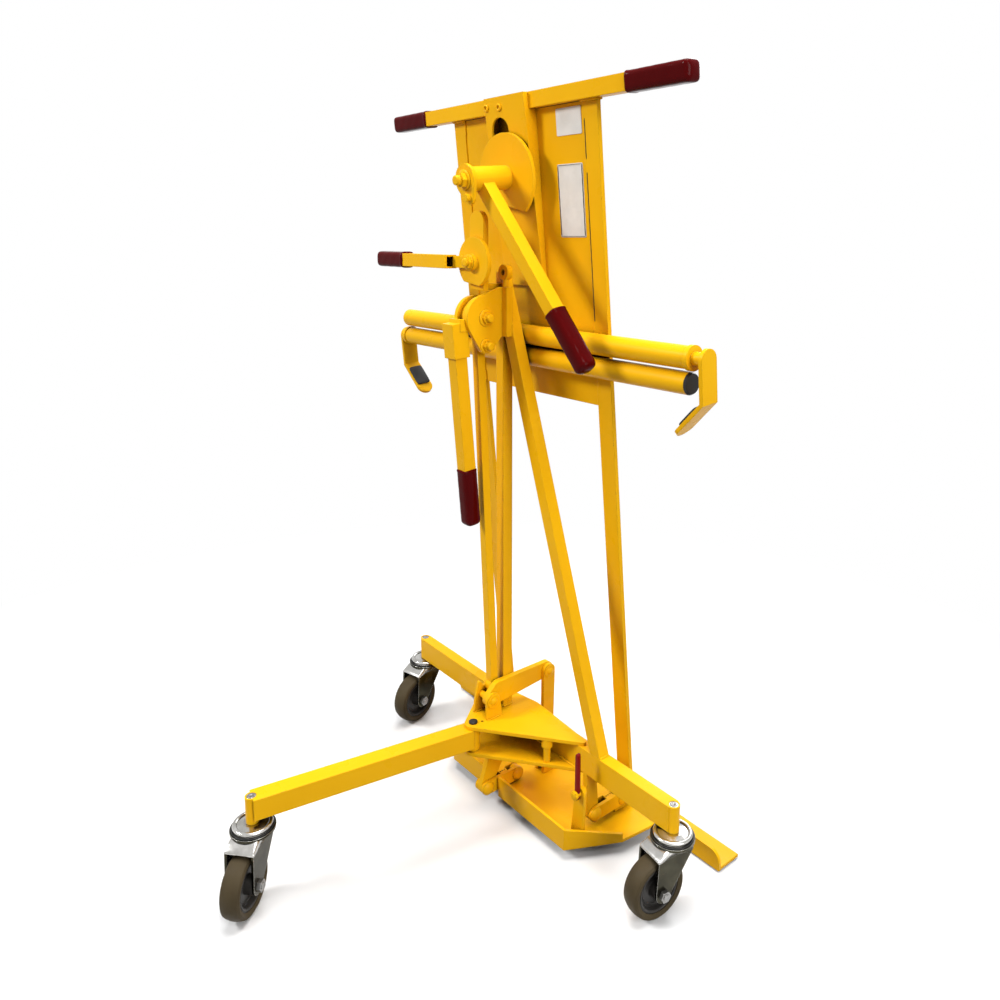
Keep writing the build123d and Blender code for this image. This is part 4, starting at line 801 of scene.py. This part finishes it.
hardware = bmesh.new()
for z, radius in HEAD_WASHERS:
    washer(hardware, at(HEAD_FACE, LEVER_Y, z), X, BOLT_BORE, radius, thick=1.6)
    thread(hardware, at(HEAD_NUT_FACE, LEVER_Y, z), X, BOLT_R, length=6.0, pitch=BOLT_PITCH)
clamp_face = pivot["clamp_turn"].copy()
clamp_face.y = at(0, CLAMP_FACE, 0).y
washer(hardware, clamp_face, -Y, BOLT_BORE, radius=10.5, thick=1.4)
thread(hardware, clamp_face - Y * CLAMP_NUT * MM, -Y, BOLT_R, length=3.0, pitch=BOLT_PITCH)
washer(hardware, at(EAR_FACE, *ROCKER_PIN), X, BOLT_BORE, radius=10.5, thick=1.2)
piece("base_washers_and_threads", hardware, WELD, "base")

hardware = bmesh.new()
drop_face = pivot["drop_swing"].copy()
drop_face.x = at(DROP_FACE, 0, 0).x
washer(hardware, drop_face, X, BOLT_BORE, radius=10.0, thick=1.2)
piece("rocker_washer", hardware, WELD, "rocker")

hardware = bmesh.new()
flange = on_carrier(CHANNEL_X, TILT_S, FLANGE_FACE)
washer(hardware, flange, OUT_LEAN, SPINDLE_BORE, radius=13.0, thick=1.6)
spindle_nut = on_carrier(CHANNEL_X, TILT_S, SPINDLE_NUT_FACE)
thread(hardware, spindle_nut, OUT_LEAN, SPINDLE_R, length=6.2, pitch=SPINDLE_PITCH)
piece("spindle_washer_and_thread", hardware, WELD, "carrier")

# Button head with a hexagon socket: radius, height and number of sides
SCREW = ((0.4, 0.2, 6), (2.2, 0.2, 6), (2.2, 1.6, 6), (3.4, 2.2), (4.4, 1.9), (4.8, 1.2), (4.8, -0.5))
SCREW_PLACES = ((-44.0, 1001.0), (-16.8, 999.5))
SCREW_N = 21.4
CHANNEL_SLOPE = 0.056

screws = bmesh.new()
channel_out = (OUT_LEAN - UP_LEAN * CHANNEL_SLOPE).normalized()
for x, s in SCREW_PLACES:
    turned(screws, facing(on_carrier(x, s, SCREW_N), channel_out), SCREW)
piece("channel_screws", screws, WELD, "carrier")

# Foot latch: a slim dipped bar in the place of its solid
LATCH_HALF = 3.4
LATCH_AROUND = 24
LATCH_FLATNESS = 1.4

# Share of the half width at each share of the height
LATCH_ROWS = (
    (0.0, 0.55), (0.02, 0.85), (0.06, 1.0), (0.3, 1.0), (0.55, 0.96),
    (0.8, 0.94), (0.94, 0.9), (0.985, 0.7), (1.0, 0.4),
)

latch_low, latch_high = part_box("latch_lever")
latch_depth = (latch_high.y - latch_low.y) / 2
latch_foot = Vector((pivot["latch_turn"].x, latch_low.y + latch_depth, latch_low.z))
latch_rings = []
for height_share, width_share in LATCH_ROWS:
    height = height_share * (latch_high.z - latch_low.z)
    half = LATCH_HALF * width_share * MM
    ring = []
    for turn in turns(LATCH_AROUND):
        depth = max(-1.0, min(1.0, LATCH_FLATNESS * sin(turn))) * latch_depth
        ring.append(latch_foot + Vector((half * cos(turn), depth, height)))
    latch_rings.append(ring)
latch = bmesh.new()
loft(latch, latch_rings)
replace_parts(piece("dipped_latch", latch, LATCH_RED, "latch"), "latch_lever")

# Bare plates on the panel: left, right, low and high edges
UPPER_PLATE = (72.0, 118.0, 955.0, 988.0)
LOWER_PLATE = (69.0, 116.0, 830.0, 921.0)
PLATE_T = 0.8
PLATE_CORNER = 2.0
PLATE_LEAST_CORNER = 0.1
PLATE_CORNER_STEPS = 4
PLATE_QUARTERS = ((1, 1), (-1, 1), (-1, -1), (1, -1))
BORDER_INSET = 1.4
BORDER_R = 0.9
BORDER_FLAT = 0.25

# Inset from the outline and height over the panel
PLATE_STEPS = ((0.0, 0.02), (0.0, 0.6 * PLATE_T), (0.35, PLATE_T), (3.0, PLATE_T))


def plate(name, left, right, low, high):
    """Thin plate with round corners and a softened edge."""
    middle = on_carrier((left + right) / 2, (low + high) / 2, PANEL_N)
    place = frame_matrix(middle, X, OUT_LEAN)
    rings = []
    for inset, height in PLATE_STEPS:
        reach = max(PLATE_LEAST_CORNER, PLATE_CORNER - inset)
        shrink = PLATE_CORNER + max(0.0, inset - PLATE_CORNER)
        ring = []
        for quarter, (i, j) in enumerate(PLATE_QUARTERS):
            for k in range(PLATE_CORNER_STEPS + 1):
                turn = pi / 2 * (quarter + k / PLATE_CORNER_STEPS)
                u = i * ((right - left) / 2 - shrink) + reach * cos(turn)
                v = j * ((high - low) / 2 - shrink) + reach * sin(turn)
                ring.append(place @ (Vector((u, v, height)) * MM))
        rings.append(ring)
    mesh = bmesh.new()
    loft(mesh, rings)
    piece(name, mesh, PLATE, "carrier", smooth=False)


def plate_border(name, left, right, low, high):
    """Dark line just inside the edge of a plate."""
    across = (left + BORDER_INSET, right - BORDER_INSET)
    rise = (low + BORDER_INSET, high - BORDER_INSET)
    outline = [(across[0], rise[0]), (across[1], rise[0]), (across[1], rise[1]), (across[0], rise[1])]
    corners = [on_carrier(x, s, PANEL_N + PLATE_T) for x, s in outline]
    mesh = bmesh.new()
    for start, end in zip(corners, corners[1:] + corners[:1]):
        dark_line(mesh, start, end, BORDER_R, BORDER_FLAT)
    piece(name, mesh, BLACK, "carrier")


plate("bare_plate_upper", *UPPER_PLATE)
plate("bare_plate_lower", *LOWER_PLATE)
plate_border("lower_plate_border", *LOWER_PLATE)

# Casters: race rim, stem end, fork hood and cheeks, dust ring, and rings on the wheel faces


class Caster(NamedTuple):
    """Where a caster's post stands, where its fork points, and what carries it."""

    post: tuple
    heading: float
    body: str
    kingpin: str


CASTERS = {
    "left": Caster(post=(BEAM_LEFT, 0.0), heading=283.0, body="base", kingpin="beam_kingpins"),
    "right": Caster(post=(BEAM_RIGHT, 0.0), heading=261.5, body="base", kingpin="beam_kingpins"),
    "front": Caster(post=(-60.1, -391.0), heading=311.0, body="leg", kingpin="front_kingpin"),
}
TRAIL = 28.0
WHEEL_R = 40.0

# Turned profiles: radius and height
RACE_RIM = (
    (24.55, 100.6), (24.7, 102.4), (24.0, 103.9), (22.6, 104.7),
    (21.0, 104.6), (19.6, 103.8), (18.9, 102.7), (20.0, 101.0),
)
STEM_END = ((4.6, -0.4), (4.6, 0.2), (4.2, 0.5), (2.2, 0.6), (1.7, 0.1), (0.3, 0.0))
DUST_RING = ((24.6, 0.02), (26.2, 0.02), (26.4, 0.5), (26.0, 1.0), (25.2, 1.2), (24.7, 0.9))
DUST_RING_Z = 97.7
RIM_AROUND = 56
STEM_AROUND = 28
RING_AROUND = 48

# Sections of the fork hood: distance from the kingpin, lower and upper height, half width
HOOD = (
    (8.0, 88.4, 96.0, 18.9), (18.0, 88.4, 96.3, 19.1), (24.0, 87.4, 95.2, 19.2), (29.0, 85.6, 92.3, 19.25),
    (33.5, 84.8, 89.4, 19.25), (36.0, 84.7, 87.6, 19.2), (36.8, 85.2, 86.4, 19.0),
)
HOOD_CORNER = 3.5
HOOD_CORNER_SHARE = 0.48
HOOD_CORNER_STEPS = 5

# Fork cheeks: top corners, eye round the axle, and the inset of the edge at each face
CHEEK_TOP = ((-18.3, 88.6), (36.4, 86.2))
CHEEK_EYE_R = 11.3
CHEEK_EYE_TURNS = (radians(3), radians(-144))
CHEEK_EYE_STEPS = 16
CHEEK_LAYERS = ((0.25, 15.85), (0.0, 16.15), (0.0, 18.8), (0.4, 19.2))
CHEEK_MIDDLE_Z = 66.0

# Rings moulded on the wheel faces: inner and outer radius, and the face they stand on
WHEEL_RINGS = ((26.6, 29.2, 9.9), (20.5, 22.0, 4.0))
RIDGE_SHOULDER = 0.7
RIDGE_CREST = 0.95
RIDGE_ROOT = 0.6
RIDGE_STEP = 0.3


def hood_section(place, x, low, top, half):
    """Ring across the fork hood, square below and rounded above."""
    corner = min(HOOD_CORNER, HOOD_CORNER_SHARE * (top - low))
    ring = [(-half, low), (half, low)]
    for side in (1, -1):
        for k in range(HOOD_CORNER_STEPS + 1):
            share = k / HOOD_CORNER_STEPS
            turn = pi / 2 * (share if side > 0 else 1 - share)
            ring.append((side * (half - corner + corner * cos(turn)), top - corner + corner * sin(turn)))
    return [place @ (Vector((x, y, z)) * MM) for y, z in ring]


def cheek(mesh, place, side):
    """Side plate of a fork: steep in front, sloping behind, round about the axle."""
    outline = list(CHEEK_TOP)
    first, last = CHEEK_EYE_TURNS
    for k in range(CHEEK_EYE_STEPS + 1):
        turn = first + (last - first) * k / CHEEK_EYE_STEPS
        outline.append((TRAIL + CHEEK_EYE_R * cos(turn), WHEEL_R + CHEEK_EYE_R * sin(turn)))
    rings = []
    for inset, y in CHEEK_LAYERS:
        ring = []
        for u, v in outline:
            pull = Vector((TRAIL - u, 0, CHEEK_MIDDLE_Z - v)).normalized() * inset
            ring.append(place @ ((Vector((u, side * y, v)) + pull) * MM))
        rings.append(ring)
    loft(mesh, rings)


def ridge(mesh, place, inner, outer, face):
    """Low rounded ring standing on a wheel face."""
    middle = (inner + outer) / 2
    profile = (
        (inner, face), (inner + RIDGE_STEP, face + RIDGE_SHOULDER), (middle, face + RIDGE_CREST),
        (outer - RIDGE_STEP, face + RIDGE_SHOULDER), (outer, face), (middle, face - RIDGE_ROOT),
    )
    turned(mesh, place, profile, RING_AROUND, closed=True)


def dress_caster(name, caster):
    foot = at(*caster.post, 0)
    fork = f"{name}_fork"
    rim = bmesh.new()
    turned(rim, facing(foot, Z), RACE_RIM, RIM_AROUND, closed=True)
    piece(f"{name}_race_rim", rim, CHROME, caster.body)
    stem_top = Vector((foot.x, foot.y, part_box(caster.kingpin)[1].z))
    stem = bmesh.new()
    turned(stem, Matrix.Translation(stem_top), STEM_END, STEM_AROUND)
    piece(f"{name}_stem_end", stem, STEEL, caster.body)

    trailing = Matrix.Translation(foot) @ Matrix.Rotation(radians(caster.heading), 4, "Z")
    hood = bmesh.new()
    loft(hood, [hood_section(trailing, *section) for section in HOOD])
    # The hood takes the bright plating while the cheeks take the fork plating darkened as painted shade
    piece(f"{name}_fork_hood", hood, CHROME, fork)
    cheeks = bmesh.new()
    for side in SIDES:
        cheek(cheeks, trailing, side)
    piece(f"{name}_fork_cheeks", cheeks, FORK, fork, smooth=False)
    dust_ring = bmesh.new()
    turned(dust_ring, facing(at(*caster.post, DUST_RING_Z), Z), DUST_RING, RING_AROUND, closed=True)
    piece(f"{name}_race_dust_ring", dust_ring, BLACK, fork)

    turn = radians(caster.heading)
    axle = Vector((-sin(turn), cos(turn), 0))
    centre = foot + Vector((TRAIL * cos(turn), TRAIL * sin(turn), WHEEL_R)) * MM
    rings = bmesh.new()
    for side in SIDES:
        for ring in WHEEL_RINGS:
            ridge(rings, facing(centre, axle * side), *ring)
    piece(f"{name}_wheel_rings", rings, WHEEL, f"{name}_wheel")


for name, caster in CASTERS.items():
    dress_caster(name, caster)

# Floor, light and camera: the floor's and lamps' lengths are metres
FLOOR_HALF = 9.0
FLOOR_DROP = 0.2 * MM
FLOOR_BOUNCE = rgb(0.22, 0.22, 0.22)
FLOOR_SEEN = rgb(0.9, 0.9, 0.9)
FLOOR_SEEN_DEEP = rgb(0.87, 0.87, 0.87)
FADE_START = 0.55
FADE_END = 1.3
WHITE = rgb(1, 1, 1)
WORLD_FILL = 0.15
LIT_POINT = Vector((0, 0, 0.5))

# Place, size and power of each lamp
LAMPS = {
    "key": ((-1.3, -2.2, 2.3), 0.8, 66.0),
    "top": ((0.2, 0.1, 3.0), 1.8, 72.0),
    "side": ((2.6, -0.1, 1.5), 1.4, 42.0),
    "accent": ((1.7, -0.8, 2.5), 0.4, 10.0),
    "back": ((-0.9, 2.6, 1.9), 1.6, 36.0),
}

# The photograph's camera: focal length and centre are shares of the image's width and height
CAMERA_AT = at(878.65, -718.83, 824.68)
AZIMUTH = radians(49.10)
PITCH = radians(9.78)
ROLL = radians(0.55)
FOCAL = 0.82502
CENTRE = (0.54984, 0.38234)
SENSOR = 36.0
CLIP = (0.05, 50.0)


def stage_floor():
    """Pale floor that keeps the shadow near the trolley and fades to white further out."""
    mesh = bmesh.new()
    bmesh.ops.create_grid(mesh, x_segments=2, y_segments=2, size=FLOOR_HALF)
    data = bpy.data.meshes.new("studio_floor")
    mesh.to_mesh(data)
    mesh.free()
    floor = bpy.data.objects.new("studio_floor", data)
    bpy.context.scene.collection.objects.link(floor)
    floor.location.z = -FLOOR_DROP
    look = Finish("studio_floor", {"Roughness": 0.9, "Specular IOR Level": 0.1})
    tone = look.spread(look.noise(scale=1.5), NOISE_LOW, NOISE_HIGH)
    path = look.add("LightPath", {})
    looked_at = look.larger(path.outputs["Is Camera Ray"], path.outputs["Is Glossy Ray"])
    looked_at = look.larger(looked_at, path.outputs["Is Transmission Ray"])
    colour = look.mix(looked_at, FLOOR_BOUNCE, look.mix(tone, FLOOR_SEEN, FLOOR_SEEN_DEEP))
    reach = look.add("VectorMath", {0: look.place}, operation="LENGTH").outputs["Value"]
    far = look.times(look.spread(reach, FADE_START, FADE_END), looked_at)
    glow = look.add("Emission", {"Color": WHITE, "Strength": 1.0}).outputs[0]
    look.done(Base_Color=colour)
    blend = look.add("MixShader", {0: far, 1: look.shader.outputs[0], 2: glow})
    look.tree.links.new(blend.outputs[0], look.tree.nodes["Material Output"].inputs["Surface"])
    data.materials.append(look.material)


def studio_world():
    """White where it is looked at, and a weak fill as light."""
    world = bpy.data.worlds.new("studio")
    bpy.context.scene.world = world
    world.use_nodes = True
    tree = world.node_tree
    sky = tree.nodes["Background"]
    sky.inputs["Color"].default_value = WHITE
    path = tree.nodes.new("ShaderNodeLightPath")
    seen = path.outputs["Is Camera Ray"]
    for ray in ("Is Glossy Ray", "Is Transmission Ray"):
        larger = tree.nodes.new("ShaderNodeMath")
        larger.operation = "MAXIMUM"
        tree.links.new(seen, larger.inputs[0])
        tree.links.new(path.outputs[ray], larger.inputs[1])
        seen = larger.outputs[0]
    level = tree.nodes.new("ShaderNodeMapRange")
    tree.links.new(seen, level.inputs["Value"])
    level.inputs["To Min"].default_value = WORLD_FILL
    level.inputs["To Max"].default_value = 1.0
    tree.links.new(level.outputs[0], sky.inputs["Strength"])


def softbox(name, place, size, power):
    lamp = bpy.data.lights.new(name, "AREA")
    lamp.shape = "DISK"
    lamp.size = size
    lamp.energy = power
    obj = bpy.data.objects.new(name, lamp)
    bpy.context.scene.collection.objects.link(obj)
    obj.location = place
    obj.rotation_euler = (LIT_POINT - obj.location).to_track_quat("-Z", "Y").to_euler()


def photo_camera():
    lens = bpy.data.cameras.new("photo_camera")
    lens.sensor_width = SENSOR
    lens.lens = FOCAL * SENSOR
    lens.shift_x = 0.5 - CENTRE[0]
    lens.shift_y = CENTRE[1] - 0.5
    lens.clip_start, lens.clip_end = CLIP
    camera = bpy.data.objects.new("photo_camera", lens)
    bpy.context.scene.collection.objects.link(camera)
    ahead = Vector((-sin(AZIMUTH) * cos(PITCH), cos(AZIMUTH) * cos(PITCH), -sin(PITCH)))
    level_right = Vector((cos(AZIMUTH), sin(AZIMUTH), 0))
    level_up = level_right.cross(ahead)
    right = cos(ROLL) * level_right + sin(ROLL) * level_up
    up = cos(ROLL) * level_up - sin(ROLL) * level_right
    turn = Matrix((right, up, -ahead)).transposed().to_4x4()
    camera.matrix_world = Matrix.Translation(CAMERA_AT) @ turn
    bpy.context.scene.camera = camera


stage_floor()
studio_world()
for name, lamp in LAMPS.items():
    softbox(name, *lamp)
photo_camera()
bpy.context.scene.view_settings.view_transform = "Standard"
